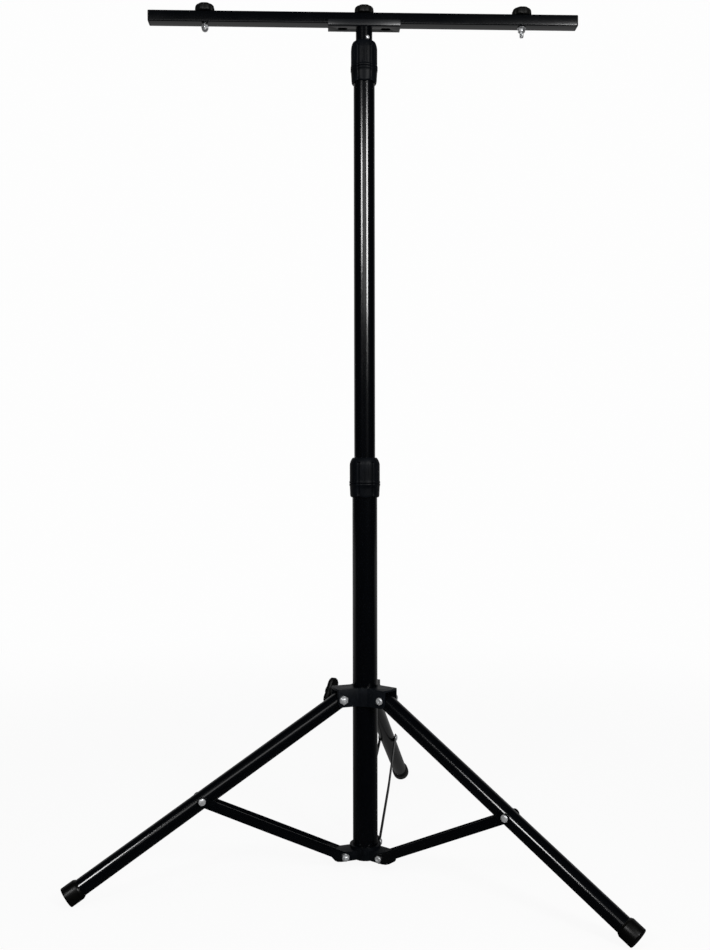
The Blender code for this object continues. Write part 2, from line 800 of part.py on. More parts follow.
def arm_plan(ring_radius, reach, half_width, corner=0.0):
    """Outline seen from above of a ring with an arm for each leg, whose ends can be rounded."""
    points = []
    meet = math.asin(half_width / ring_radius) if half_width < ring_radius else 0.0
    between = 2 * math.pi / LEG_COUNT - 2 * meet
    for arm in range(LEG_COUNT):
        centre = turn_to(REAR_LEG_AZIMUTH) + 2 * math.pi * arm / LEG_COUNT
        outward = Vector((math.cos(centre), math.sin(centre)))
        sideways = Vector((-math.sin(centre), math.cos(centre)))
        steps = CORNER_STEPS if corner else 1
        for side in (-1, 1):
            for step in range(steps):
                angle = math.pi / 2 * step / max(1, steps - 1)
                if side > 0:
                    angle = math.pi / 2 - angle
                along = reach - corner + corner * math.sin(angle)
                across = side * (half_width - corner + corner * math.cos(angle))
                point = outward * along + sideways * across
                points.append((point.x, point.y))
        for step in range(CORNER_STEPS + 1):
            angle = centre + meet + between * step / CORNER_STEPS
            points.append((ring_radius * math.cos(angle), ring_radius * math.sin(angle)))
    return points


def arm_frames():
    """For each leg, its name and the turn that brings +X to it."""
    step = 360.0 / LEG_COUNT
    names = ("rear", "right", "left")
    for i, name in enumerate(names):
        yield name, turn_to(REAR_LEG_AZIMUTH + step * i)


def leg_collar():
    """The sliding collar: three roofed arms, each with two cheeks that hold a leg."""
    body = extruded(
        "leg_collar",
        arm_plan(COLLAR_RADIUS, 2 * COLLAR_ARM_REACH, collar_outer_half),
        collar_bottom,
        collar_top,
    )
    corner = COLLAR_CORNER
    profile = [
        (0, collar_top + GAP),
        (COLLAR_ARM_REACH - COLLAR_EDGE - GAP, collar_top + GAP),
        (COLLAR_ARM_REACH, collar_top - COLLAR_EDGE),
    ]
    for step in range(CORNER_STEPS):
        angle = -math.pi / 2 * step / (CORNER_STEPS - 1)
        profile.append((
            COLLAR_ARM_REACH - corner + corner * math.cos(angle),
            collar_bottom - GAP + corner + corner * math.sin(angle),
        ))
    profile.append((0, collar_bottom - GAP))
    body = combined(body, turned("envelope", profile, ENVELOPE_SIDES), "INTERSECT")
    clamp_turn = Matrix.Rotation(turn_to(clamp_azimuth), 4, "Z")
    boss = along_x(rod(COLLAR_BOSS_RADIUS, lower_radius + GAP, COLLAR_BOSS_REACH, FITTING_SIDES))
    boss = moved(boss, clamp_turn @ Matrix.Translation((0, 0, clamp_height)))
    body = joined(body, boss)
    bore = rod(lower_radius + GAP, collar_bottom - GAP, collar_top + GAP, POLE_SIDES)
    screw_hole = along_x(rod(CLAMP_SCREW_DIAMETER / 2 + GAP, lower_radius / 2, 2 * COLLAR_ARM_REACH))
    screw_hole = moved(screw_hole, clamp_turn @ Matrix.Translation((0, 0, clamp_height)))
    body = cut(body, bore, screw_hole)
    slot_start = LEG_PIVOT_RADIUS - LEG_PIVOT_ABOVE_AXIS - leg_radius - COLLAR_LEG_ROOM
    for _, turn in arm_frames():
        facing = Matrix.Rotation(turn, 4, "Z")
        slot = block(
            (slot_start, -collar_inner_half, collar_bottom - OVERSHOOT),
            (2 * COLLAR_ARM_REACH, collar_inner_half, collar_top - COLLAR_ROOF),
        )
        drill = along_y(rod(BOLT_HOLE / 2, -2 * collar_outer_half, 2 * collar_outer_half))
        drill = moved(drill, Matrix.Translation((LEG_PIVOT_RADIUS, 0, LEG_PIVOT_HEIGHT)))
        body = cut(body, moved(slot, facing), moved(drill, facing))
    return body


def hub():
    """The fixed hub: a ring on the pole's foot with an arm for each strut to straddle."""
    bottom = HUB_ABOVE_FOOT
    top = bottom + HUB_HEIGHT
    body = extruded(
        "hub",
        arm_plan(HUB_RADIUS, HUB_ARM_REACH, hub_arm_half, HUB_ARM_CORNER),
        bottom,
        bottom + HUB_ARM_HEIGHT,
    )
    body = joined(body, rod(HUB_RADIUS, bottom + HUB_ARM_HEIGHT / 2, top, POLE_SIDES))
    drills = [rod(lower_radius + GAP, bottom - GAP, top + GAP, POLE_SIDES)]
    for _, turn in arm_frames():
        drill = along_y(rod(BOLT_HOLE / 2, -2 * hub_arm_half, 2 * hub_arm_half), hub_pivot)
        drills.append(moved(drill, Matrix.Rotation(turn, 4, "Z")))
    return cut(body, *drills)


def pivot_bolt(name, half_width):
    """A bolt along Y with its domed, socketed head on -Y and its nut on +Y."""
    shank = BOLT_DIAMETER / 2
    head = BOLT_HEAD_DIAMETER / 2
    seat = half_width + GAP
    crown = seat + BOLT_HEAD_HEIGHT
    socket = BOLT_RECESS_DIAMETER / 2
    flat = BOLT_NUT_ACROSS_FLATS / 2
    nut_end = seat + BOLT_NUT_HEIGHT
    tip = nut_end + BOLT_NUT_DOME
    stations = [
        (socket, -crown + BOLT_RECESS_DEPTH, True),
        (socket, -crown, True),
        (head * BOLT_CROWN_RADIUS, -crown + BOLT_HEAD_HEIGHT * BOLT_CROWN_DROP, False),
        (head, -seat - BOLT_HEAD_HEIGHT * BOLT_RIM_HEIGHT, False),
        (head, -seat, False),
        (shank, -seat, False),
    ]
    stations += [
        (shank, seat, False),
        (flat, seat, True),
        (flat, nut_end, True),
        (flat * BOLT_CROWN_RADIUS, tip - BOLT_NUT_DOME * BOLT_TIP_RADIUS, False),
        (flat * BOLT_TIP_RADIUS, tip, False),
    ]
    rings = [circle(radius, along, SMALL_SIDES, hexed) for radius, along, hexed in stations]
    return along_y(lofted(name, rings))


def strut_strip(side):
    """One flat strip from the hub pivot along +X, cranked in to lie against the leg at its end."""
    half = STRIP_WIDTH / 2
    outline = []
    for centre, start in ((strut_length, -math.pi / 2), (0.0, math.pi / 2)):
        for step in range(ROUND_END_STEPS + 1):
            angle = start + math.pi * step / ROUND_END_STEPS
            outline.append((centre + half * math.cos(angle), half * math.sin(angle)))
    strip = extruded("strut_strip", outline, 0, STRIP_THICKNESS)
    for x in (0.0, strut_length):
        drill = rod(BOLT_HOLE / 2, -STRIP_THICKNESS, 2 * STRIP_THICKNESS)
        strip = cut(strip, moved(drill, Matrix.Translation((x, 0, 0))))
    crank_start = strut_length * STRIP_STRAIGHT_SHARE
    crank_end = strut_length - STRIP_PAD
    bm = bmesh.new()
    bm.from_mesh(strip)
    for x in (crank_start, crank_end):
        everything = bm.verts[:] + bm.edges[:] + bm.faces[:]
        bmesh.ops.bisect_plane(bm, geom=everything, plane_co=(x, 0, 0), plane_no=(1, 0, 0))
    for vertex in bm.verts:
        share = (vertex.co.x - crank_start) / (crank_end - crank_start)
        share = min(1.0, max(0.0, share))
        offset = strip_foot_offset + share * (strip_leg_offset - strip_foot_offset)
        across, up = vertex.co.z + offset, vertex.co.y
        vertex.co.y, vertex.co.z = side * across, up
    if side > 0:
        # Swapping two axes turned the strip inside out.
        bmesh.ops.reverse_faces(bm, faces=bm.faces)
    bpy.data.meshes.remove(strip)
    return finish_mesh(bm, "strut_strip", recalculate=False)


def rivet_head(side):
    """A domed head outside the strip with a shank through it, flush at the strip's inner face."""
    radius = RIVET_HEAD_DIAMETER / 2
    inner = strip_leg_offset + RIVET_GAP / 2
    seat = strip_leg_offset + STRIP_THICKNESS + GAP
    crown = seat + RIVET_HEAD_HEIGHT
    profile = [
        (0, crown),
        (radius * RIVET_CROWN_RADIUS, crown - RIVET_HEAD_HEIGHT * RIVET_CROWN_DROP),
        (radius, seat),
        (BOLT_DIAMETER / 2, seat),
        (BOLT_DIAMETER / 2, inner),
        (0, inner),
    ]
    head = along_y(turned("rivet_head", profile, SMALL_SIDES))
    if side < 0:
        head = moved(head, Matrix.Rotation(math.pi, 4, "Z"))
    return head


def rivet_shank():
    """The middle of the strut's rivet, held in the leg tube and ending at its sides."""
    end = leg_radius - RIVET_GAP / 2
    return along_y(rod(BOLT_DIAMETER / 2, -end, end))


def clamp_screw():
    start = lower_radius + GAP + CLAMP_PAD + GAP
    end = COLLAR_BOSS_REACH + CLAMP_SCREW_SHOWING + WING_SCREW_GRIP
    return along_x(rod(CLAMP_SCREW_DIAMETER / 2, start, end))


def clamp_pad():
    start = lower_radius + GAP
    return along_x(rod(CLAMP_SCREW_DIAMETER / 2, start, start + CLAMP_PAD))


def wing_knob():
    """A two-winged knob about X, tilted, with a blind hole for its screw."""
    start = COLLAR_BOSS_REACH + CLAMP_SCREW_SHOWING
    end = start + WING_HUB_LENGTH
    tip = WING_SPAN / 2 - WING_END_RADIUS
    outline = []
    for side in (1, -1):
        for step in range(ROUND_END_STEPS + 1):
            angle = math.pi * (step / ROUND_END_STEPS - 0.5)
            across = WING_END_RADIUS * math.sin(angle)
            along = tip + WING_END_RADIUS * math.cos(angle)
            outline.append((side * along, side * across))
        outline.append((0, side * WING_WAIST))
    wings = extruded("wing_knob", outline, start + WING_SETBACK, start + WING_SETBACK + WING_THICKNESS)
    bm = bmesh.new()
    bm.from_mesh(wings)
    rims = [e for e in bm.edges if abs(e.verts[0].co.z - e.verts[1].co.z) < GAP / 10]
    bmesh.ops.bevel(
        bm, geom=rims, offset=WING_EDGE, segments=1, affect="EDGES", clamp_overlap=True
    )
    bpy.data.meshes.remove(wings)
    wings = finish_mesh(bm, "wing_knob")
    hub_profile = [
        (0, end),
        (WING_HUB_RADIUS - WING_HUB_CHAMFER, end),
        (WING_HUB_RADIUS, end - WING_HUB_CHAMFER),
        (WING_HUB_RADIUS - WING_HUB_TAPER, start),
        (0, start),
    ]
    knob_mesh = joined(wings, turned("hub", hub_profile, FITTING_SIDES))
    drill = rod(CLAMP_SCREW_DIAMETER / 2 + GAP, start - GAP, start + WING_SCREW_GRIP + GAP)
    knob_mesh = cut(knob_mesh, drill)
    tilted = Matrix.Rotation(math.radians(WING_TILT), 4, "Z")
    return along_x(moved(knob_mesh, tilted))


def build_pole(steel, moulded, dark):
    place("lower_tube", tube("lower_tube", lower_radius, TUBE_WALL, lower_bottom, lower_top), steel)
    place("base_plug", base_plug(), moulded)
    place(
        "lower_lock_base",
        lock_base(
            "lower_lock_base", lower_radius, LOWER_LOCK_RADIUS, lower_split,
            LOWER_LOCK_SKIRT, LOWER_LOCK_SKIRT_TAPER,
        ),
        dark,
    )
    place("lower_lock_collet", collet("lower_lock_collet", lower_radius, mid_radius, lower_top), moulded)
    lower_turn = guide("lower_lock_axis")
    place(
        "lower_lock_nut",
        lock_nut(
            "lower_lock_nut", lower_radius, mid_radius, LOWER_LOCK_RADIUS, lower_split,
            LOWER_LOCK_SEAT, LOWER_LOCK_NUT, LOWER_LOCK_TOP_RIM,
        ),
        dark,
        lower_turn,
    )
    mid = guide("mid_slide")
    place("mid_tube", tube("mid_tube", mid_radius, TUBE_WALL, mid_bottom, mid_top), steel, mid)
    place(
        "mid_guide_bush",
        guide_bush("mid_guide_bush", mid_radius, TUBE_WALL, lower_bore, mid_bottom),
        moulded,
        mid,
    )
    place(
        "upper_lock_base",
        lock_base(
            "upper_lock_base", mid_radius, UPPER_LOCK_RADIUS, upper_split,
            UPPER_LOCK_SKIRT, UPPER_LOCK_SKIRT_TAPER,
        ),
        dark,
        mid,
    )
    place("upper_lock_collet", collet("upper_lock_collet", mid_radius, top_radius, mid_top), moulded, mid)
    upper_turn = guide("upper_lock_axis", mid)
    place(
        "upper_lock_nut",
        lock_nut(
            "upper_lock_nut", mid_radius, top_radius, UPPER_LOCK_RADIUS, upper_split,
            UPPER_LOCK_SEAT, UPPER_LOCK_NUT, UPPER_LOCK_TOP_RIM,
        ),
        dark,
        upper_turn,
    )
    top = guide("top_slide", mid)
    place(
        "top_guide_bush",
        guide_bush("top_guide_bush", top_radius, TUBE_WALL, mid_bore, top_tube_bottom),
        moulded,
        top,
    )
    swivel = guide("bar_swivel", top)
    place("top_tube", top_tube(), steel, swivel)
    return swivel


def build_bar(swivel, steel, moulded, bright):
    place("tube_insert", tube_insert(), bright, swivel)
    place("insert_rivet", insert_rivet(), bright, swivel)
    place("bar_saddle", saddle(), steel, swivel)
    place("t_bar", t_bar(), steel, swivel)
    place("bar_end_plug_right", bar_end_plug(), moulded, swivel)
    mirrored = moved(bar_end_plug(), Matrix.Rotation(math.pi, 4, "Z"))
    place("bar_end_plug_left", mirrored, moulded, swivel)
    knob_mesh = knob()
    seat = bar_top + GAP
    for name, x in knob_places().items():
        axis = guide(f"knob_axis_{name}", swivel, (x, 0, 0))
        place(f"bar_knob_{name}", knob_mesh, moulded, axis, (0, 0, seat))
        lowest = bar_bottom - (LEFT_STUD_BELOW_BAR if name == "left" else STUD_BELOW_BAR)
        low = lowest + CAP_NUT_END + GAP if name == "left" else lowest
        high = seat + STUD_GRIP - GAP
        place(f"knob_stud_{name}", stud(f"knob_stud_{name}", high, low), bright, axis)
        if name == "left":
            place("cap_nut_left", cap_nut(lowest), bright, axis)
        elif name == "right":
            place("flange_nut_right", flange_nut(bar_bottom - GAP), bright, axis)


def build_tripod(steel, moulded, dark, bright, rubber):
    place("hub", hub(), dark)
    slide = guide("collar_slide")
    place("leg_collar", leg_collar(), dark, slide)
    clamp = guide(
        "clamp_axis", slide, (0, 0, clamp_height), (0, 0, turn_to(clamp_azimuth))
    )
    place("clamp_pad", clamp_pad(), moulded, clamp)
    place("clamp_screw", clamp_screw(), bright, clamp)
    place("wing_knob", wing_knob(), moulded, clamp)
    shared = {
        "leg_tube": (leg_tube(), steel),
        "foot_cap": (foot_cap(), rubber),
        "rivet_shank": (rivet_shank(), bright),
    }
    collar_bolt = pivot_bolt("leg_bolt", collar_outer_half)
    hub_bolt = pivot_bolt("hub_bolt", strip_foot_offset + STRIP_THICKNESS)
    strips = {"a": strut_strip(1), "b": strut_strip(-1)}
    heads = {"a": rivet_head(1), "b": rivet_head(-1)}
    for name, turn in arm_frames():
        arm = guide(f"arm_{name}", slide, rotation=(0, 0, turn))
        at_pivot = (LEG_PIVOT_RADIUS, 0, LEG_PIVOT_HEIGHT)
        place(f"leg_bolt_{name}", collar_bolt, bright, arm, at_pivot)
        leg = guide(f"leg_axis_{name}", arm, at_pivot, (0, slope, 0))
        for piece, (mesh, material) in shared.items():
            along = STRUT_JOINT_ALONG_LEG if piece == "rivet_shank" else 0.0
            place(f"{piece}_{name}", mesh, material, leg, (along, 0, 0))
        foot = guide(f"hub_arm_{name}", rotation=(0, 0, turn))
        place(f"hub_bolt_{name}", hub_bolt, bright, foot, hub_pivot)
        strut = guide(f"strut_axis_{name}", foot, hub_pivot, (0, -strut_rise, 0))
        for side in strips:
            place(f"strut_strip_{name}_{side}", strips[side], steel, strut)
            place(f"rivet_head_{name}_{side}", heads[side], bright, strut, (strut_length, 0, 0))


def main():
    clear_scene()
    steel = finish_material("gloss_black_steel", (0.006, 0.006, 0.007), 0.18)
    moulded = finish_material("black_plastic", (0.010, 0.010, 0.011), 0.55)
    dark = finish_material("black_moulding", (0.014, 0.015, 0.017), 0.42)
    rubber = finish_material("foot_rubber", (0.008, 0.008, 0.008), 0.70)
    bright = finish_material("bright_zinc", (0.62, 0.63, 0.65), 0.28, 1.0)
    swivel = build_pole(steel, moulded, dark)
    build_bar(swivel, steel, moulded, bright)
    build_tripod(steel, moulded, dark, bright, rubber)


main()
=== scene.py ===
"""Looks for a folding light stand: finer pieces, finishes, a pale floor, lamps and the camera."""

import json
import math

import bmesh
import bpy
from bpy.props import FloatProperty, FloatVectorProperty, IntProperty, PointerProperty
from bpy.types import Operator, Panel, PropertyGroup
from mathutils import Matrix, Vector

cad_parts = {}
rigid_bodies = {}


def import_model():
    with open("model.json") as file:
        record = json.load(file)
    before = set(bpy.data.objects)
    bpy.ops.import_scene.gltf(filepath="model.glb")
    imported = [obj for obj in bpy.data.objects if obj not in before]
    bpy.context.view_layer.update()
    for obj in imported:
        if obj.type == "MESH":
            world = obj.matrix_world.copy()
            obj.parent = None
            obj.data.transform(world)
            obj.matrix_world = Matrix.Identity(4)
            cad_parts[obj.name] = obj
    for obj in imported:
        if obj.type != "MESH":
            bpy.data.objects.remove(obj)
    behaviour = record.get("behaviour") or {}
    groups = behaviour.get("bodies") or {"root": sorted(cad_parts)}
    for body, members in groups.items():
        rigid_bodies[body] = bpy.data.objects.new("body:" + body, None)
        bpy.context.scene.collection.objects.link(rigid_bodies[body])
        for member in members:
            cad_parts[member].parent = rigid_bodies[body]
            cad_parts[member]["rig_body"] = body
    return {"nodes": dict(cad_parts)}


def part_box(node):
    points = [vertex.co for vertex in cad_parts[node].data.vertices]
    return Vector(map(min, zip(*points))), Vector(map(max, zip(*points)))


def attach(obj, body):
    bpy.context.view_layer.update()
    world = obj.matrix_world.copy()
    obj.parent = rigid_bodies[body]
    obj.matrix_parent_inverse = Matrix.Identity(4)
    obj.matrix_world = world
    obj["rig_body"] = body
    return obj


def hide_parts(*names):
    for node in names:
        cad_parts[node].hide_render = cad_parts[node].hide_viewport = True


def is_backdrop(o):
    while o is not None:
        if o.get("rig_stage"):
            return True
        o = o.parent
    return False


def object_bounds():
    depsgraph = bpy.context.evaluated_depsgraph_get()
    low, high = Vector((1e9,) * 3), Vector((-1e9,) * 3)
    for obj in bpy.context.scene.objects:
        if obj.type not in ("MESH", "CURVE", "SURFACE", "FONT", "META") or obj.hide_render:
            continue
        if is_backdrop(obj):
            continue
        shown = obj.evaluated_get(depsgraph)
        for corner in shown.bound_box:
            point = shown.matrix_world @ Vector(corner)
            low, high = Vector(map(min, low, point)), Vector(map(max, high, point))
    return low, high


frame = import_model()

bl_info = {
    "name": "Light Stand",
    "version": (1, 0, 0),
    "blender": (4, 5, 0),
    "location": "View3D > Sidebar > Light Stand",
    "description": "Dresses the fixed frame of a folding light stand",
    "category": "Add Mesh",
}

# Mesh attribute that keeps each point's place as the piece was made
PLACE = "place"

# Clearance between pieces that touch
GAP = 0.0003

# Edges steeper than this stay sharp, in degrees
SMOOTH = 38.0
SMOOTH_CRISP = 30.0
SMOOTH_SADDLE = 45.0
SMOOTH_SOFT = 50.0
SMOOTH_THREADS = 60.0

# Material slots of the record
STEEL = "gloss_black_steel"
PLASTIC = "black_plastic"
MOULDING = "black_moulding"
RUBBER = "foot_rubber"
ZINC = "bright_zinc"
# Second looks for the steel, moulding and zinc slots; the moulding's is darker, and on the hub that
# darkening is painted shade
SATIN = "satin_steel"
DARKER_AND_SHADED_MOULDING = "darker_and_shaded_moulding"
BRIGHT = "mirror_zinc"

# Steps round nuts and bolts, rivets, threads and drilled holes, and how far a cutter overshoots
NUT_STEPS = 72
RIVET_STEPS = 64
THREAD_STEPS = 32
DRILL_STEPS = 32
OVERSHOOT = 0.01

# Points closer than this are merged, and faces that turn less than this, in degrees
MERGE_DISTANCE = 2e-6
FLAT_ANGLE = 0.8

# Tubes, and the edges of pieces that keep their node's own shape
TUBE_WALL = 0.0012
TUBE_EDGE = 0.00035
PLUG_EDGE = 0.0005
PAD_EDGE = 0.0003
INNER_EDGE = 0.0002
WING_EDGE = 0.0009

# Twist locks, with angles in degrees: panels parted by grooves, and two rib grooves to a panel. A
# groove's floor and edge are measured from its middle, a rib groove's place from its panel's
PANELS = 6
PANEL_PITCH = 360.0 / PANELS
LOCK_STEPS = 40 * PANELS
GROOVE = 0.0021
GROOVE_FLOOR = 5.6
GROOVE_EDGE = 7.0
RIB_GROOVE = 0.00045
RIB_GROOVE_AT = 9.5
RIB_GROOVE_HALF = 1.7
# Raised lips on both sides of the split, the softened edges there, and how far above the upper
# lip the rib grooves are at their full depth
LIP = 0.0006
LIP_HEIGHT = 0.003
RIBS_FROM = 0.0015
BASE_EDGE = 0.0002
LOCK_NUT_EDGE = 0.0005
# Thread on the base
THREAD_WALL = 0.0008
THREAD_HEIGHT = 0.012
# Scalloped skirt of the base: rows down it as shares of its height, and rows that turn its edge
# in, by inset, then height above the bottom and depth of the scallops as shares of SCALLOP
SCALLOP = 0.0020
SCALLOP_FULLNESS = 0.8
SKIRT_SHARES = (0.35, 0.7, 1.0)
SKIRT_TURN = ((0.0001, 1.6, 0.5), (0.0005, 1.1, 0.8), (0.0010, 1.0, 1.0))
SKIRT_GROOVE_FADE = 0.7
SKIRT_INNER = 0.9
# Shoulder of the nut: height, fullness, rows up it, where along it the panels fade out, rows up
# the straight side below it, and the softened rim at the mouth
SHOULDER = 0.011
SHOULDER_FULLNESS = 1.5
SHOULDER_SHARES = (0.08, 0.16, 0.24, 0.32, 0.36, 0.44, 0.56, 0.68, 0.80, 0.88, 0.94, 0.98, 1.0)
SHOULDER_FADE = (0.28, 0.42)
NUT_SHARES = (0.33, 0.66, 1.0)
RIM_EDGE = 0.0004
# Cone inside the nut, as depths below its top
CONE_TOP = 0.004
CONE_BOTTOM = 0.012

# Locks' own sizes: tube radius, inner tube radius, grip radius, taper, rim above the mouth, and
# how far the front panel is turned from -Y, in degrees
LOCKS = {
    "lower": {
        "tube": 0.019, "inner": 0.016, "grip": 0.0236, "taper": 0.0012, "rim": 0.0010, "turn": 2.0,
    },
    "upper": {
        "tube": 0.016, "inner": 0.0125, "grip": 0.0206, "taper": 0.0014, "rim": 0.0038, "turn": 0.0,
    },
}

# T-bar, and its end plugs with their faces' rounding: how far in, and how far back
BAR_CORNER = 0.0015
BAR_WALL = 0.0015
PLUG_CAP = 0.002
PLUG_ROUNDING = ((0.0016, 0.0), (0.0006, 0.00015), (0.0001, 0.0007), (0.0, 0.0012))

# Saddle: a folded channel with two slots, whose round ends keep a little flat between corners
SADDLE_WALL = 0.002
SADDLE_FLOOR = 0.0044
SADDLE_BEND = 0.0022
SADDLE_BEND_STEPS = 5
SADDLE_LIP = 0.0005
SADDLE_LIP_STEPS = 3
SADDLE_EDGE = 0.00035
SLOT_SPACING = 0.0654
SLOT_LENGTH = 0.0145
SLOT_WIDTH = 0.0075
SLOT_CORNER = SLOT_WIDTH / 2.05
SLOT_STEPS = 10
SLOT_OVERSHOOT = 0.001
# Stands an outline across the bar: its X along +Y, its Y up and its height along +X
ACROSS_BAR = Matrix(((0, 0, 1, 0), (1, 0, 0, 0), (0, 1, 0, 0), (0, 0, 0, 1)))

# Knobs: their flutes, and the side from the seat up as share of the radius, height and share of
# a flute's depth
KNOB_X = {"left": -0.240, "centre": 0.0, "right": 0.240}
KNOB_RADIUS = 0.015
KNOB_HEIGHT = 0.0120
KNOB_SOCKET = 0.004
KNOB_LOBES = 8
KNOB_LOBE_STEPS = 20
KNOB_FLUTE = 0.0013
KNOB_FLUTE_SHARPNESS = 2.2
KNOB_SIDE = (
    (0.93, 0.0, 0.2), (0.975, 0.0003, 0.7), (0.99, 0.0009, 1.0),
    (1.0, 0.0018, 1.0), (0.995, 0.0040, 1.1), (0.98, 0.0060, 1.1),
)
# Dome of a knob: its fullness across and up, the steps over which the flutes fade, and its flat
# top as a share of the radius and as rows of share and drop
KNOB_DOME_STEPS = 13
KNOB_DOME_FULLNESS = (0.75, 1.05)
KNOB_FLUTE_FADE = (4, 12)
KNOB_FLAT = 0.40
KNOB_FLAT_DROP = 0.0002
KNOB_TOP = ((0.38, 0.00012), (0.18, 0.0))
KNOB_TIP = 0.0003

# Threads: depth as a share of the pitch, where its flanks lie, rows to a turn, and the turned end
STUD_RADIUS = 0.003
STUD_PITCH = 0.001
THREAD_DEPTH = 0.55
THREAD_FLANK = (0.25, 0.9)
THREAD_ROWS = 6
THREAD_CHAMFER = 0.0008
THREAD_CHAMFER_SLOPE = 0.6

# Nuts: distance from centre to flat, and the corners' turning as shares of the chamfer
STUD_NUT_FLAT = 0.005
NUT_CHAMFER = 0.0006
TURNED_CORNER = ((1.4, 0.0), (0.5, 0.45), (0.0, 1.0))
NUT_BORE_CHAMFER = 0.0006
# Flange nut's flange, from its top down: how far in from the rim, and how far down
FLANGE = ((0.0002, 0.0), (0.0, 0.0003), (0.0002, 0.0009), (0.0012, 0.0014))
FLANGE_HEIGHT = 0.0016
# Cap nut: its dome's share of its height, and how far its bore stops above its end
CAP_DOME = 0.45
CAP_BORE_END = 0.0022
# Domes on nuts: their foot and tip as shares of the flat, and their fullness
CAP_DOME_FOOT = 0.93
BOLT_DOME_FOOT = 0.92
DOME_TIP = 0.05
DOME_STEPS = 10
DOME_FULLNESS = 0.8

# Bolts through the collar and hub: a domed head with a hex socket, and a domed nut
BOLT_SHANK = 0.003
BOLT_HEAD_HEIGHT = 0.0030
BOLT_HEAD_DOME = 0.0019
BOLT_HEAD_STEPS = 8
BOLT_HEAD_EDGE = 0.0002
BOLT_NUT_HEIGHT = 0.0042
BOLT_NUT_TIP = 0.0078
# Socket: centre to flat, depth, the chamfer at its mouth, and the radii of its rim and land
SOCKET_FLAT = 0.0023
SOCKET_DEPTH = 0.0014
SOCKET_CHAMFER = 0.0002
SOCKET_RIM = 0.0030
SOCKET_LAND = 0.0032
# Radius of each bolt's head, and its nut's distance from centre to flat
LEG_BOLT = (0.0056, 0.0060)
HUB_BOLT = (0.0048, 0.0050)

# Collar: half the width over an arm's cheeks, and its clamp, whose screw points to an azimuth
COLLAR_OUTER_HALF = 0.0163
CLAMP_AZIMUTH = 311.5
CLAMP_HEIGHT = 0.2466
CLAMP_PITCH = 0.00125
CLAMP_RADIUS = 0.004
CLAMP_ENDS = (0.0225, 0.0685)
CLAMP_THREAD_END = 0.0535

# Tripod, with azimuths clockwise from +Y as seen from above. A leg lies along +X of its own
# frame, from its pivot, and is straight past its rounded end
ARM_AZIMUTHS = {"rear": 11.5, "right": 131.5, "left": 251.5}
LEG_SLOPE = math.radians(31.2)
LEG_PIVOT = Vector((0.0412, 0.0, 0.2491))
LEG_BELOW_PIVOT = 0.0022
LEG_LENGTH = 0.475
LEG_RADIUS = 0.0125
LEG_ROUNDED = 0.02
LEG_JOINT = 0.2525
# Foot caps: the tip's and mouth's rounding, and the mouth's taper
FOOT_RADIUS = 0.015
FOOT_LENGTH = 0.023
FOOT_END = 0.004
FOOT_ROUND = 0.0016
FOOT_ROUND_STEPS = 8
FOOT_TIP = 0.0004
FOOT_MOUTH_TAPER = 0.0030
FOOT_MOUTH_ROUND = 0.0006
FOOT_MOUTH_STEPS = 5
FOOT_MOUTH_INSET = 0.0019
FOOT_SHOULDER_EDGE = 0.0001
# Struts: flat strips with round ends, cranked between their middle and their pad at the leg
HUB_PIVOT = Vector((0.039, 0.0, 0.0104))
STRIP_HALF_WIDTH = 0.007
STRIP_THICKNESS = 0.0016
STRIP_PAD = 0.013
STRIP_EDGE = 0.00028
STRIP_END_STEPS = 16
STRIP_CLEARANCE = 0.0002
STRIP_CRANK_FROM = 0.5
STRIP_BEND_ROWS = (-0.006, -0.002, 0.0, 0.002, 0.006)
# Rivet heads outside the strips, and the shanks through them
RIVET_RADIUS = 0.0054
RIVET_SHANK = 0.003
RIVET_HEIGHT = 0.0026
RIVET_RIM = 0.0002
RIVET_RIM_ROUND = 0.0001
RIVET_FULLNESS = 0.9
RIVET_TIP = 0.0002

# Floor and backdrop: how pale the camera sees them, and the floor's own body under the lamps
FLOOR_SIZE = 12.0
FLOOR_BODY = 0.90
FLOOR_ROUGHNESS = 0.9
FLOOR_WHITE = 0.94
BACKDROP_WHITE = 0.985
# How far from the pole the shadow starts to fade, and where it has gone
SHADOW_ENDS = (0.7, 2.2)
# Where along +Y gloss sees the floor begin to pale, and where it is palest; before the stand gloss
# sees the floor darkened by painted shade
FLOOR_PALES = (-0.4, 1.8)
# The same for the room, by how far a direction points to +Y
ROOM_PALES = (0.35, 0.90)

# Lamps round the pole: azimuth from the camera's side towards +X, height, width and height of the
# face, and the stage's property that holds the power
LAMP_DISTANCE = 2.2
LAMP_TARGET = (0.0, 0.0, 1.2)
LAMPS = {
    "strip lamp left": (-30.0, 1.56, 0.42, 0.42, "left_power"),
    "strip lamp right": (28.0, 1.50, 0.50, 0.68, "right_power"),
    "dim panel": (-2.0, 1.46, 1.10, 0.60, "panel_power"),
}
TOP_LAMP_PLACE = (0.2, -0.5, 3.0)
TOP_LAMP_TARGET = (0.0, 0.0, 0.4)
TOP_LAMP_SIDE = 1.8

# Camera at the photograph's angle
CAMERA_EYE = Vector((-0.06875, -1.5964, 0.6034))
CAMERA_YAW = math.radians(1.93)
CAMERA_PITCH = math.radians(-1.227)
CAMERA_ROLL = math.radians(-0.103)
PHOTO_HEIGHT = 950
FOCAL_PIXELS = 1045.09
PRINCIPAL_ROW = 487.38
SENSOR = 36.0


class LightStandSizes(PropertyGroup):
    tube_sides: IntProperty(
        name="Tube sides", description="Facets round each tube", default=96, min=24, max=256
    )
    edge_radius: FloatProperty(
        name="Edge radius", description="Rounding of the edges of the collar and hub",
        default=0.0008, min=0.0001, max=0.002, unit="LENGTH", precision=4,
    )
    metal_edge_radius: FloatProperty(
        name="Metal edge radius", description="Rounding of the top insert and its rivet",
        default=0.0003, min=0.0001, max=0.001, unit="LENGTH", precision=4,
    )


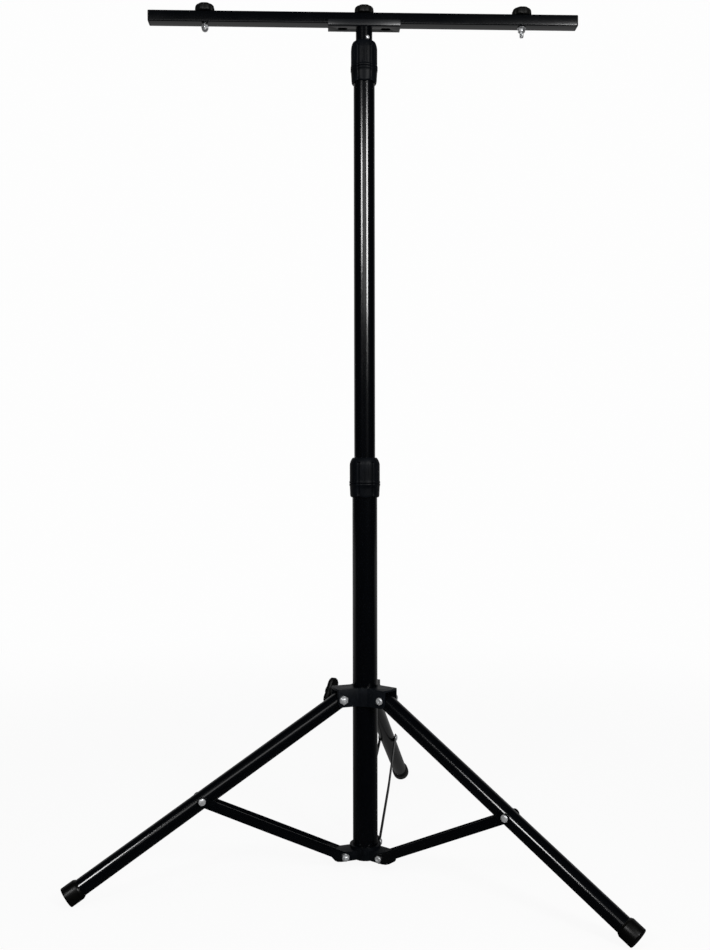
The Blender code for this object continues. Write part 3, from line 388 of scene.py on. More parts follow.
class LightStandFinishes(PropertyGroup):
    steel: FloatVectorProperty(
        name="Steel", description="Gloss powder coat", default=(0.0006, 0.0009, 0.0015),
        subtype="COLOR", min=0.0, max=1.0,
    )
    steel_roughness: FloatProperty(
        name="Steel roughness", description="Roughness of the powder coat", default=0.15,
        min=0.0, max=1.0,
    )
    plastic: FloatVectorProperty(
        name="Plastic", description="Knobs and plugs", default=(0.0028, 0.0029, 0.0026),
        subtype="COLOR", min=0.0, max=1.0,
    )
    moulding: FloatVectorProperty(
        name="Moulding", description="Locks, collar and hub", default=(0.0030, 0.0040, 0.0058),
        subtype="COLOR", min=0.0, max=1.0,
    )
    rubber: FloatVectorProperty(
        name="Rubber", description="Foot caps", default=(0.0013, 0.0013, 0.0012),
        subtype="COLOR", min=0.0, max=1.0,
    )
    zinc: FloatVectorProperty(
        name="Zinc", description="Bolts, nuts, studs and rivets", default=(0.62, 0.63, 0.64),
        subtype="COLOR", min=0.0, max=1.0,
    )


class LightStandStage(PropertyGroup):
    ambient: FloatProperty(
        name="Ambient", description="Level of the surrounding light", default=0.25, min=0.0
    )
    front: FloatProperty(
        name="Front", description="What gloss sees on the camera's side", default=0.012, min=0.0
    )
    back: FloatProperty(
        name="Back", description="What gloss sees behind the stand", default=0.35, min=0.0
    )
    floor_gloss: FloatProperty(
        name="Floor in gloss", description="How much of the floor gloss sees", default=0.30, min=0.0
    )
    left_power: FloatProperty(
        name="Left strip", description="Power of the strip lamp on the left", default=16.0,
        min=0.0, unit="POWER",
    )
    right_power: FloatProperty(
        name="Right strip", description="Power of the strip lamp on the right", default=32.0,
        min=0.0, unit="POWER",
    )
    panel_power: FloatProperty(
        name="Dim panel", description="Power of the dim panel between the strips", default=3.4,
        min=0.0, unit="POWER",
    )
    top_power: FloatProperty(
        name="Top lamp", description="Power of the soft lamp overhead", default=14.0,
        min=0.0, unit="POWER",
    )


# Shader graphs


class Signal:
    """A socket that can stand in an expression: arithmetic on it adds Math nodes."""

    def __init__(self, graph, socket):
        self.graph = graph
        self.socket = socket

    def math(self, operation, first, second):
        return self.graph.add("ShaderNodeMath", {"operation": operation}, {0: first, 1: second})

    def __add__(self, other):
        return self.math("ADD", self, other)

    def __sub__(self, other):
        return self.math("SUBTRACT", self, other)

    def __rsub__(self, other):
        return self.math("SUBTRACT", other, self)

    def __mul__(self, other):
        return self.math("MULTIPLY", self, other)

    __radd__ = __add__
    __rmul__ = __mul__

    def between(self, low, high):
        """0 below low, 1 above high, and a soft step between."""
        return self.graph.add(
            "ShaderNodeMapRange",
            {"interpolation_type": "SMOOTHSTEP"},
            {"Value": self, "From Min": low, "From Max": high},
        )

    def beside(self, name):
        """Another output of the same node."""
        return Signal(self.graph, self.socket.node.outputs[name])


class Graph:
    """A node tree with one way of adding a node."""

    def __init__(self, tree):
        self.tree = tree

    def add(self, kind, settings=None, values=None, output=0):
        node = self.tree.nodes.new(kind)
        for name, value in (settings or {}).items():
            setattr(node, name, value)
        for name, value in (values or {}).items():
            socket = node.inputs[name]
            if isinstance(value, Signal):
                self.tree.links.new(value.socket, socket)
            else:
                socket.default_value = value
        return Signal(self, node.outputs[output])

    def link(self, signal, socket):
        self.tree.links.new(signal.socket, socket)

    def stretched(self, scale):
        """The piece's own coordinates in metres, as it was made, multiplied along each axis."""
        here = self.add("ShaderNodeAttribute", {"attribute_name": PLACE}, output="Vector")
        return self.add(
            "ShaderNodeVectorMath", {"operation": "MULTIPLY"}, {0: here, 1: scale}
        )

    def noise(self, scale, detail=2.0, roughness=0.5):
        place = self.stretched(scale if isinstance(scale, tuple) else (scale,) * 3)
        return self.add(
            "ShaderNodeTexNoise",
            values={"Vector": place, "Scale": 1.0, "Detail": detail, "Roughness": roughness},
        )

    def mix(self, factor, first, second):
        return self.add(
            "ShaderNodeMix", {"data_type": "RGBA"}, {0: factor, 6: first, 7: second}, output=2
        )

    def bump(self, height, distance):
        return self.add("ShaderNodeBump", values={"Height": height, "Distance": distance})


# Finishes


class Finish:
    """A material being made, with its shader and its graph."""

    def __init__(self, name, roughness, metallic=0.0, specular=0.5):
        self.material = bpy.data.materials.new(name)
        self.material.use_nodes = True
        self.graph = Graph(self.material.node_tree)
        self.inputs = self.material.node_tree.nodes["Principled BSDF"].inputs
        self.roughness = roughness
        self.inputs["Roughness"].default_value = roughness
        self.inputs["Metallic"].default_value = metallic
        self.inputs["Specular IOR Level"].default_value = specular

    def rough(self, cloud, swing):
        """Roughness that swings about its middle value with a cloud."""
        return cloud * swing + (self.roughness - swing / 2)

    def complete(self, tint, rough, relief, depth):
        """The material, once its colour, roughness and relief are joined to its shader."""
        self.graph.link(tint, self.inputs["Base Color"])
        self.graph.link(rough, self.inputs["Roughness"])
        self.graph.link(self.graph.bump(relief, depth), self.inputs["Normal"])
        return self.material


def shades(colour, *factors):
    """The colour darkened or paled by each factor, with an alpha of 1."""
    return [[min(1.0, channel * factor) for channel in colour] + [1.0] for factor in factors]


def steel_finish(look, name="gloss black powder coat", rougher=0.0, paler=1.0):
    """Black powder coat: a faint orange peel, and fine scuffs."""
    coat = Finish(name, look.steel_roughness + rougher)
    graph = coat.graph
    peel = graph.noise(520.0)
    cloud = graph.noise(16.0, 3.0, 0.6)
    scuffs = graph.noise(240.0, 3.0, 0.6).between(0.60, 0.74)
    specks = graph.noise(1500.0, 1.0).between(0.72, 0.78)
    worn = scuffs * cloud.between(0.42, 0.62)
    plain, scuffed, specked = shades(look.steel, paler, 2.6 * paler, 3.5 * paler)
    tint = graph.mix(worn * 0.4, plain, scuffed)
    tint = graph.mix(specks * 0.2, tint, specked)
    return coat.complete(tint, coat.rough(cloud, 0.07) + worn * 0.03, peel, 0.000002)


def satin_steel_finish(look):
    """The saddle's powder coat, more satin than the tubes'."""
    return steel_finish(look, "satin black powder coat", rougher=0.16, paler=2.2)


def plastic_finish(look):
    """Smooth satin plastic of the knobs and plugs, with soft mould marks."""
    plastic = Finish("satin black plastic", 0.47, specular=0.17)
    graph = plastic.graph
    grain = graph.noise(2400.0)
    cloud = graph.noise(60.0, 3.0, 0.6)
    dark, pale = shades(look.plastic, 0.8, 1.5)
    tint = graph.mix(cloud.between(0.35, 0.70), dark, pale)
    return plastic.complete(tint, plastic.rough(cloud, 0.18), grain, 0.000012)


def moulding_finish(look, name="grained black moulding", paler=1.0, specular=0.16):
    """Filled black moulding of the locks and collar: fine grain, rubbed a little paler."""
    moulding = Finish(name, 0.42, specular=specular)
    graph = moulding.graph
    grain = graph.noise(1900.0, 3.0, 0.6)
    cloud = graph.noise(34.0, 4.0, 0.6)
    rubbed = graph.noise((260.0, 260.0, 60.0), 3.0, 0.7).between(0.55, 0.75)
    dark, pale, bare = shades(look.moulding, 0.75 * paler, 1.45 * paler, 2.6 * paler)
    tint = graph.mix(cloud.between(0.30, 0.72), dark, pale)
    tint = graph.mix(rubbed * 0.30, tint, bare)
    return moulding.complete(tint, moulding.rough(cloud, 0.16) + rubbed * 0.06, grain, 0.00003)


def darker_and_shaded_moulding_finish(look):
    """The locks' and hub's moulding, blacker than the collar's; on the hub the darkening is painted
    shade, as less light reaches it.
    """
    return moulding_finish(look, "blacker moulding", paler=0.6, specular=0.09)


def rubber_finish(look):
    """Smooth rubber of the foot caps, with a trace of floor dust."""
    rubber = Finish("smooth black rubber", 0.32, specular=0.24)
    graph = rubber.graph
    pores = graph.noise(1300.0, 3.0, 0.7)
    cloud = graph.noise(90.0, 4.0, 0.65)
    dust = cloud.between(0.52, 0.74)
    clean, dusty = shades(look.rubber, 1.0, 4.0)
    tint = graph.mix(dust * 0.25, clean, dusty)
    return rubber.complete(tint, rubber.rough(cloud, 0.12), pores, 0.000008)


def zinc_finish(look, name="zinc plate", metallic=0.6, smoother=0.0):
    """Zinc plate, slightly clouded and finely scored."""
    plate = Finish(name, 0.36 - smoother, metallic=metallic)
    graph = plate.graph
    cloud = graph.noise(320.0, 3.0, 0.6)
    score = graph.noise((2600.0, 2600.0, 300.0))
    dull, clear = shades(look.zinc, 0.86, 1.12)
    tint = graph.mix(cloud.between(0.35, 0.68), dull, clear)
    return plate.complete(tint, plate.rough(cloud, 0.18), score, 0.00001)


def bright_finish(look):
    """The brighter plate of the bar's studs and nuts."""
    return zinc_finish(look, "bright zinc plate", metallic=0.9, smoother=0.07)


FINISHES = {
    STEEL: steel_finish,
    SATIN: satin_steel_finish,
    PLASTIC: plastic_finish,
    MOULDING: moulding_finish,
    DARKER_AND_SHADED_MOULDING: darker_and_shaded_moulding_finish,
    RUBBER: rubber_finish,
    ZINC: zinc_finish,
    BRIGHT: bright_finish,
}
made_finishes = {}


def finish(slot):
    """The material of a slot or a look, made when it is first asked for."""
    if slot not in made_finishes:
        made_finishes[slot] = FINISHES[slot](bpy.context.scene.light_stand_finishes)
    return made_finishes[slot]


# Meshes


def new_object(name, data):
    obj = bpy.data.objects.new(name, data)
    bpy.context.scene.collection.objects.link(obj)
    return obj


def mesh_from(bm, name):
    mesh = bpy.data.meshes.new(name)
    bm.to_mesh(mesh)
    bm.free()
    return mesh


def skin(rings, joined=False):
    """Rings of equal counts with quads between them; the ends are capped, or joined together."""
    bm = bmesh.new()
    rows = [[bm.verts.new(point) for point in ring] for ring in rings]
    pairs = list(zip(rows, rows[1:]))
    if joined:
        pairs.append((rows[-1], rows[0]))
    else:
        bm.faces.new(rows[0])
        bm.faces.new(rows[-1])
    for first, second in pairs:
        for i in range(len(first)):
            j = (i + 1) % len(first)
            bm.faces.new((first[i], first[j], second[j], second[i]))
    bmesh.ops.recalc_face_normals(bm, faces=bm.faces)
    return mesh_from(bm, "skin")


def ring(steps, radius, height):
    """Points round Z. Radius and height are numbers, or functions of the angle."""
    points = []
    for i in range(steps):
        angle = 2 * math.pi * i / steps
        reach = radius(angle) if callable(radius) else radius
        level = height(angle) if callable(height) else height
        points.append((reach * math.cos(angle), reach * math.sin(angle), level))
    return points


def lathe(profile, steps, joined=False):
    return skin([ring(steps, radius, height) for radius, height in profile], joined)


def arc(centre, radius, start, end, steps):
    """Points of an arc in a profile's plane, angles in degrees."""
    points = []
    for i in range(steps + 1):
        angle = math.radians(start + (end - start) * i / steps)
        points.append((centre[0] + radius * math.cos(angle), centre[1] + radius * math.sin(angle)))
    return points


def quarter_turn(first, last, steps):
    """Cosine and sine at some of the steps of a quarter turn."""
    for step in range(first, last + 1):
        angle = math.pi / 2 * step / steps
        yield math.cos(angle), math.sin(angle)


def rounded_rectangle(width, height, corner, steps=6):
    points = []
    for quarter, (side_x, side_y) in enumerate(((1, 1), (-1, 1), (-1, -1), (1, -1))):
        centre = (side_x * (width / 2 - corner), side_y * (height / 2 - corner))
        points += arc(centre, corner, 90 * quarter, 90 * quarter + 90, steps)
    return points


def hexagon(flat, limit=math.inf):
    """Reach of a hexagon at an angle, its corners turned down to a limit."""
    def reach(angle):
        whole = flat / math.cos((angle + math.pi / 6) % (math.pi / 3) - math.pi / 6)
        return min(whole, limit)
    return reach


def extrude(outline, low, high):
    bm = bmesh.new()
    face = bm.faces.new([bm.verts.new((x, y, low)) for x, y in outline])
    raised = bmesh.ops.extrude_face_region(bm, geom=[face])["geom"]
    top_points = [v for v in raised if isinstance(v, bmesh.types.BMVert)]
    bmesh.ops.translate(bm, verts=top_points, vec=(0, 0, high - low))
    bmesh.ops.recalc_face_normals(bm, faces=bm.faces)
    return mesh_from(bm, "extrusion")


def evaluated(mesh, kind, **settings):
    """The mesh after one modifier."""
    obj = new_object("work", mesh)
    modifier = obj.modifiers.new("work", kind)
    for name, value in settings.items():
        setattr(modifier, name, value)
    graph = bpy.context.evaluated_depsgraph_get()
    result = bpy.data.meshes.new_from_object(obj.evaluated_get(graph))
    bpy.data.objects.remove(obj, do_unlink=True)
    return result


def cut(mesh, tool):
    cutter = new_object("cutter", tool)
    result = evaluated(mesh, "BOOLEAN", object=cutter, operation="DIFFERENCE")
    bpy.data.objects.remove(cutter, do_unlink=True)
    return result


def softened(mesh, width, segments=3, angle=28.0):
    """The mesh with its flat faces merged and its edges rounded."""
    bm = bmesh.new()
    bm.from_mesh(mesh)
    bmesh.ops.remove_doubles(bm, verts=bm.verts, dist=MERGE_DISTANCE)
    bmesh.ops.dissolve_limit(
        bm, angle_limit=math.radians(FLAT_ANGLE), verts=bm.verts[:], edges=bm.edges[:]
    )
    bmesh.ops.recalc_face_normals(bm, faces=bm.faces)
    return evaluated(
        mesh_from(bm, "softened"), "BEVEL", width=width, segments=segments,
        limit_method="ANGLE", angle_limit=math.radians(angle), miter_outer="MITER_ARC",
    )


def from_node(node, width, segments=3, angle=28.0):
    """A node's own shape with its edges rounded."""
    return softened(frame["nodes"][node].data.copy(), width, segments, angle)


def body_of(node):
    return frame["nodes"][node]["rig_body"]


def show(nodes, mesh, slot, matrix=None, smooth=SMOOTH, look=None, name=None):
    """Puts a finished piece in the place of its nodes and lets it ride on their body."""
    nodes = [nodes] if isinstance(nodes, str) else nodes
    name = name or f"shown_{nodes[0]}"
    mesh.shade_smooth()
    mesh.set_sharp_from_angle(angle=math.radians(smooth))
    mesh.materials.clear()
    mesh.materials.append(finish(look or slot))
    mesh.name = name
    place = mesh.attributes.new(PLACE, "FLOAT_VECTOR", "POINT")
    place.data.foreach_set("vector", [number for vertex in mesh.vertices for number in vertex.co])
    if matrix is not None:
        mesh.transform(matrix)
    obj = new_object(name, mesh)
    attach(obj, body_of(nodes[0]))
    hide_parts(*nodes)


def turn_to(azimuth):
    """The turn about Z that brings +X to an azimuth."""
    return Matrix.Rotation(math.radians(90.0 - azimuth), 4, "Z")


def along_y(mesh):
    mesh.transform(Matrix.Rotation(-math.pi / 2, 4, "X"))
    return mesh


def along_x(mesh, offset=(0, 0, 0)):
    mesh.transform(Matrix.Translation(offset) @ Matrix.Rotation(math.pi / 2, 4, "Y"))
    return mesh


# Pole


def tube_mesh(outer, low, high, sides):
    bore, edge = outer - TUBE_WALL, TUBE_EDGE
    profile = [
        (bore, low + edge), (bore + edge, low), (outer - edge, low), (outer, low + edge),
        (outer, high - edge), (outer - edge, high), (bore + edge, high), (bore, high - edge),
    ]
    return lathe(profile, sides, joined=True)


class LIGHTSTAND_OT_pole(Operator):
    """Make the three pole tubes, the plug in the foot and the rivet at the top"""

    bl_idname = "light_stand.pole"
    bl_label = "Pole"

    def execute(self, context):
        sizes = context.scene.light_stand_sizes
        for node in ("lower_tube", "mid_tube", "top_tube"):
            low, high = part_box(node)
            mesh = tube_mesh((high.x - low.x) / 2, low.z, high.z, sizes.tube_sides)
            show(node, mesh, STEEL)
        show("base_plug", from_node("base_plug", PLUG_EDGE), PLASTIC)
        show("insert_rivet", from_node("insert_rivet", sizes.metal_edge_radius), ZINC)
        return {"FINISHED"}


# Twist locks


def soft_step(value, low, high):
    share = min(1.0, max(0.0, (value - low) / (high - low)))
    return share * share * (3 - 2 * share)


def from_panel_middle(angle):
    """Degrees from the middle of the nearest panel, the front one centred on -Y."""
    return (math.degrees(angle) + 90.0 + PANEL_PITCH / 2) % PANEL_PITCH - PANEL_PITCH / 2


def grip(radius, groove, rib):
    """Reach of a grip with panels, given how deep their grooves and rib grooves are."""
    def reach(angle):
        from_middle = abs(from_panel_middle(angle))
        from_edge = PANEL_PITCH / 2 - from_middle
        from_rib = abs(from_middle - RIB_GROOVE_AT)
        depth = groove * (1 - soft_step(from_edge, GROOVE_FLOOR, GROOVE_EDGE))
        depth += rib * (1 - soft_step(from_rib, 0.0, RIB_GROOVE_HALF))
        return radius - depth
    return reach


def scalloped(height, drop):
    """Height of a skirt's edge, lowest at each panel's middle."""
    def level(angle):
        wave = math.cos(math.radians(180.0 * from_panel_middle(angle) / PANEL_PITCH))
        return height - drop * wave**SCALLOP_FULLNESS
    return level


def lock_base_mesh(size, bottom, split):
    """The fixed half: a panelled skirt with a lip at the split, and its thread above."""
    bore = size["tube"] + GAP
    thread = bore + THREAD_WALL
    thread_top = split + THREAD_HEIGHT
    radius = size["grip"]
    face = radius - LIP
    flare = radius - size["taper"]
    lip_foot = split - LIP_HEIGHT - LIP
    low = bottom + 2 * SCALLOP
    rows = [(bore, thread_top, 0.0), (thread, thread_top, 0.0), (thread, split, 0.0)]
    rows += [(radius - BASE_EDGE, split, GROOVE), (radius, split - BASE_EDGE, GROOVE)]
    rows += [(radius, split - LIP_HEIGHT, GROOVE), (face, lip_foot, GROOVE)]
    for share in SKIRT_SHARES:
        rows.append((face + (flare - face) * share, lip_foot + (low - lip_foot) * share, GROOVE))
    for inset, rise, share in SKIRT_TURN:
        level = scalloped(bottom + SCALLOP * rise, SCALLOP * share)
        rows.append((flare - inset, level, GROOVE * (1 - share * SKIRT_GROOVE_FADE)))
    rings = [ring(LOCK_STEPS, grip(reach, groove, 0.0), z) for reach, z, groove in rows]
    rings.append(ring(LOCK_STEPS, bore, bottom + SCALLOP * SKIRT_INNER))
    return skin(rings, joined=True)


def lock_nut_mesh(size, split, top):
    """The turning half: a lip at the split, ribbed panels, and a shoulder in to the mouth."""
    bottom = split + GAP
    mouth = size["inner"] + 2 * GAP
    thread = size["tube"] + 2 * GAP + THREAD_WALL
    radius = size["grip"]
    face = radius - LIP
    rim = mouth + size["rim"]
    lip_top = bottom + LIP_HEIGHT
    start = top - SHOULDER
    # Reach, height, share of the groove and share of the rib grooves
    rows = [(mouth, top - CONE_TOP, 0, 0), (thread, top - CONE_BOTTOM, 0, 0)]
    rows.append((thread, bottom, 0, 0))
    rows += [(radius - LOCK_NUT_EDGE, bottom, 1, 0), (radius, bottom + LOCK_NUT_EDGE, 1, 0)]
    rows += [(radius, lip_top, 1, 0), (face, lip_top + LIP, 1, 0.2)]
    rows.append((face, lip_top + RIBS_FROM, 1, 1))
    for share in NUT_SHARES:
        rows.append((face, lip_top + (start - lip_top) * share, 1, 1))
    for share in SHOULDER_SHARES:
        full = (1 - share**SHOULDER_FULLNESS) ** (1 / SHOULDER_FULLNESS)
        shown = 1 - soft_step(share, *SHOULDER_FADE)
        rows.append((rim + (face - rim) * full, start + SHOULDER * share, shown, shown))
    rows += [(rim - RIM_EDGE, top, 0, 0), (mouth, top, 0, 0)]
    rings = [
        ring(LOCK_STEPS, grip(reach, GROOVE * groove, RIB_GROOVE * rib), z)
        for reach, z, groove, rib in rows
    ]
    return skin(rings, joined=True)


class LIGHTSTAND_OT_locks(Operator):
    """Make the two ribbed twist locks"""

    bl_idname = "light_stand.locks"
    bl_label = "Twist locks"

    def execute(self, context):
        for place, size in LOCKS.items():
            base, nut = f"{place}_lock_base", f"{place}_lock_nut"
            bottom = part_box(base)[0].z
            low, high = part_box(nut)
            split = low.z - GAP
            turn = Matrix.Rotation(math.radians(size["turn"]), 4, "Z")
            meshes = {
                base: lock_base_mesh(size, bottom, split), nut: lock_nut_mesh(size, split, high.z),
            }
            for node, mesh in meshes.items():
                # The locks take the darker moulding, which makes them blacker
                show(node, mesh, MOULDING, turn, SMOOTH_SOFT, DARKER_AND_SHADED_MOULDING)
        return {"FINISHED"}


# T-bar


def across_bar(width, height, corner, level):
    """A rounded rectangle across the bar, as numbers along Y and up, centred at a level."""
    outline = rounded_rectangle(width, height, corner)
    return [(across, up + level) for across, up in outline]


def along_bar(sections):
    """Rings of cross sections, each given with its place along the bar."""
    return [[(x, across, up) for across, up in outline] for outline, x in sections]


def bar_mesh():
    """The T-bar's square tube, drilled for the studs."""
    low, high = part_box("t_bar")
    middle = (low.z + high.z) / 2
    depth, height = high.y - low.y, high.z - low.z
    outer = across_bar(depth, height, BAR_CORNER, middle)
    inner = across_bar(depth - 2 * BAR_WALL, height - 2 * BAR_WALL, BAR_CORNER / 2, middle)
    sections = [(outer, low.x), (outer, high.x), (inner, high.x), (inner, low.x)]
    mesh = skin(along_bar(sections), joined=True)
    hole = STUD_RADIUS + GAP
    for x in KNOB_X.values():
        drill = lathe([(hole, low.z - OVERSHOOT), (hole, high.z + OVERSHOOT)], DRILL_STEPS)
        drill.transform(Matrix.Translation((x, 0, 0)))
        mesh = cut(mesh, drill)
    return mesh


def end_plug_mesh(node):
    """A plug with a softened face over the bar's end and a spigot inside it."""
    low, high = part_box(node)
    middle = (low.z + high.z) / 2
    depth, height = high.y - low.y, high.z - low.z
    side = 1 if low.x > 0 else -1
    outer, inner = (high.x, low.x) if side > 0 else (low.x, high.x)
    seat = outer - side * PLUG_CAP
    slimmer = 2 * (BAR_WALL + GAP)
    sections = []
    for inset, back in PLUG_ROUNDING:
        outline = across_bar(depth - 2 * inset, height - 2 * inset, BAR_CORNER, middle)
        sections.append((outline, outer - side * back))
    sections.append((across_bar(depth, height, BAR_CORNER, middle), seat))
    spigot = across_bar(depth - slimmer, height - slimmer, BAR_CORNER / 2, middle)
    sections += [(spigot, seat), (spigot, inner)]
    return skin(along_bar(sections))


def saddle_mesh():
    """A folded channel with rounded bends, soft edges and two slots."""
    low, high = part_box("bar_saddle")
    outer = high.y
    inner = outer - SADDLE_WALL
    floor = low.z + SADDLE_FLOOR
    bend, lip = SADDLE_BEND, SADDLE_LIP
    outline = arc((-outer + bend, low.z + bend), bend, 180, 270, SADDLE_BEND_STEPS)
    outline += arc((outer - bend, low.z + bend), bend, 270, 360, SADDLE_BEND_STEPS)
    outline += arc((outer - lip, high.z - lip), lip, 0, 90, SADDLE_LIP_STEPS)
    outline += arc((inner + lip, high.z - lip), lip, 90, 180, SADDLE_LIP_STEPS)
    outline += [(inner, floor), (-inner, floor)]
    outline += arc((-inner - lip, high.z - lip), lip, 0, 90, SADDLE_LIP_STEPS)
    outline += arc((-outer + lip, high.z - lip), lip, 90, 180, SADDLE_LIP_STEPS)
    mesh = extrude(outline, low.x, high.x)
    mesh.transform(ACROSS_BAR)
    slot = rounded_rectangle(SLOT_LENGTH, SLOT_WIDTH, SLOT_CORNER, SLOT_STEPS)
    for side in (-1, 1):
        place = [(x + side * SLOT_SPACING / 2, y) for x, y in slot]
        mesh = cut(mesh, extrude(place, low.z - OVERSHOOT, floor + SLOT_OVERSHOOT))
    return softened(mesh, SADDLE_EDGE, segments=2, angle=40.0)


class LIGHTSTAND_OT_t_bar(Operator):
    """Make the T-bar, its end plugs and the saddle under it"""

    bl_idname = "light_stand.t_bar"
    bl_label = "T-bar"

    def execute(self, context):
        show("t_bar", bar_mesh(), STEEL)
        show("bar_saddle", saddle_mesh(), STEEL, smooth=SMOOTH_SADDLE, look=SATIN)
        for node in ("bar_end_plug_left", "bar_end_plug_right"):
            show(node, end_plug_mesh(node), PLASTIC)
        return {"FINISHED"}


# Knobs, studs and nuts


def knob_mesh():
    """A domed knob with scalloped flutes, standing on z = 0."""
    def fluted(radius, flute):
        def reach(angle):
            wave = 0.5 + 0.5 * math.cos(KNOB_LOBES * angle)
            return radius - flute * wave**KNOB_FLUTE_SHARPNESS
        return reach
    bore = STUD_RADIUS + GAP
    rows = [(bore, KNOB_SOCKET, 0.0), (bore, 0.0, 0.0)]
    rows += [(KNOB_RADIUS * share, height, flute) for share, height, flute in KNOB_SIDE]
    across, up = KNOB_DOME_FULLNESS
    wide, start, deep = KNOB_SIDE[-1]
    rise = KNOB_HEIGHT - KNOB_FLAT_DROP - start
    dome = quarter_turn(1, KNOB_DOME_STEPS - 1, KNOB_DOME_STEPS)
    for step, (cosine, sine) in enumerate(dome, 1):
        reach = KNOB_RADIUS * (KNOB_FLAT + (wide - KNOB_FLAT) * cosine**across)
        flute = deep * (1 - soft_step(step, *KNOB_FLUTE_FADE))
        rows.append((reach, start + rise * sine**up, flute))
    rows += [(KNOB_RADIUS * share, KNOB_HEIGHT - drop, 0.0) for share, drop in KNOB_TOP]
    rows.append((KNOB_TIP, KNOB_HEIGHT, 0.0))
    steps = KNOB_LOBES * KNOB_LOBE_STEPS
    return skin([ring(steps, fluted(reach, KNOB_FLUTE * flute), z) for reach, z, flute in rows])


def thread_mesh(radius, pitch, low, high, thread_top):
    """A rod with a helical thread up to thread_top and a plain shank above it."""
    def threaded(height):
        fade = min(1.0, (height - low) / THREAD_CHAMFER)
        crest = radius - (1 - fade) * THREAD_CHAMFER * THREAD_CHAMFER_SLOPE

        def reach(angle):
            phase = (height / pitch - angle / (2 * math.pi)) % 1.0
            return crest - pitch * THREAD_DEPTH * soft_step(abs(2 * phase - 1), *THREAD_FLANK)
        return reach
    rings = []
    height = low
    while height < thread_top:
        rings.append(ring(THREAD_STEPS, threaded(height), height))
        height += pitch / THREAD_ROWS
    rings += [ring(THREAD_STEPS, radius, thread_top + pitch / 2), ring(THREAD_STEPS, radius, high)]
    return skin(rings)


def hex_nut_rings(flat, low, high):
    """A hexagon with its corners turned down at both ends."""
    corner = flat / math.cos(math.pi / 6)
    rows = [(inset, low + NUT_CHAMFER * back) for inset, back in TURNED_CORNER]
    rows += [(inset, high - NUT_CHAMFER * back) for inset, back in reversed(TURNED_CORNER)]
    return [ring(NUT_STEPS, hexagon(flat, corner - NUT_CHAMFER * inset), z) for inset, z in rows]


def dome_rings(flat, foot, start, end):
    """A closed dome on a nut, up or down from its start to its end."""
    rings = []
    for cosine, sine in quarter_turn(1, DOME_STEPS - 1, DOME_STEPS):
        reach = flat * foot * cosine**DOME_FULLNESS
        rings.append(ring(NUT_STEPS, reach, start + (end - start) * sine))
    rings.append(ring(NUT_STEPS, flat * DOME_TIP, end))
    return rings


def flange_nut_mesh(node):
    """The right stud's nut, its flange on top."""
    low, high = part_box(node)
    bore = STUD_RADIUS + GAP
    flange = (high.x - low.x) / 2
    rings = [ring(NUT_STEPS, bore, high.z)]
    rings += [ring(NUT_STEPS, flange - inset, high.z - down) for inset, down in FLANGE]
    rings += reversed(hex_nut_rings(STUD_NUT_FLAT, low.z, high.z - FLANGE_HEIGHT))
    rings.append(ring(NUT_STEPS, bore + NUT_BORE_CHAMFER, low.z))
    rings.append(ring(NUT_STEPS, bore, low.z + NUT_BORE_CHAMFER))
    return skin(rings, joined=True)


def cap_nut_mesh(node):
    """The left stud's nut, its dome downwards."""
    low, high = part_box(node)
    bore = STUD_RADIUS + GAP
    dome_foot = low.z + (high.z - low.z) * CAP_DOME
    rings = [ring(NUT_STEPS, bore, low.z + CAP_BORE_END), ring(NUT_STEPS, bore, high.z)]
    rings += reversed(hex_nut_rings(STUD_NUT_FLAT, dome_foot, high.z))
    rings += dome_rings(STUD_NUT_FLAT, CAP_DOME_FOOT, dome_foot, low.z)
    return skin(rings)


class LIGHTSTAND_OT_knobs(Operator):
    """Make the three clamping knobs, their threaded studs and nuts"""

    bl_idname = "light_stand.knobs"
    bl_label = "Bar knobs"

    def execute(self, context):
        bar_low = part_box("t_bar")[0].z
        for name, x in KNOB_X.items():
            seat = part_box(f"bar_knob_{name}")[0].z
            show(f"bar_knob_{name}", knob_mesh(), PLASTIC, Matrix.Translation((x, 0, seat)))
            node = f"knob_stud_{name}"
            low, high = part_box(node)
            mesh = thread_mesh(STUD_RADIUS, STUD_PITCH, low.z, high.z, bar_low)
            show(node, mesh, ZINC, Matrix.Translation((x, 0, 0)), SMOOTH_THREADS, BRIGHT)
        nuts = (
            ("flange_nut_right", flange_nut_mesh, "right", "shown_flange_nut"),
            ("cap_nut_left", cap_nut_mesh, "left", "shown_cap_nut"),
        )
        for node, make, side, name in nuts:
            matrix = Matrix.Translation((KNOB_X[side], 0, 0))
            show(node, make(node), ZINC, matrix, SMOOTH_CRISP, BRIGHT, name)
        return {"FINISHED"}


# Tripod


def bolt_mesh(half_width, head, flat):
    """A bolt along Y: a domed head with a socket on -Y, a domed nut on +Y."""
    seat = half_width + GAP
    crown = seat + BOLT_HEAD_HEIGHT
    nut_end = seat + BOLT_NUT_HEIGHT
    socket = hexagon(SOCKET_FLAT)
    rows = [(socket, -crown + SOCKET_DEPTH), (socket, -crown + SOCKET_CHAMFER)]
    rows.append((SOCKET_RIM, -crown))
    for cosine, sine in quarter_turn(0, BOLT_HEAD_STEPS, BOLT_HEAD_STEPS):
        reach = SOCKET_LAND + (head - SOCKET_LAND) * sine
        rows.append((reach, -crown + BOLT_HEAD_DOME * (1 - cosine)))
    rows += [(head, -seat - BOLT_HEAD_EDGE), (head - BOLT_HEAD_EDGE, -seat)]
    rows += [(BOLT_SHANK, -seat), (BOLT_SHANK, seat)]
    rings = [ring(NUT_STEPS, reach, z) for reach, z in rows]
    rings += hex_nut_rings(flat, seat, nut_end)
    rings += dome_rings(flat, BOLT_DOME_FOOT, nut_end, seat + BOLT_NUT_TIP)
    return along_y(skin(rings))


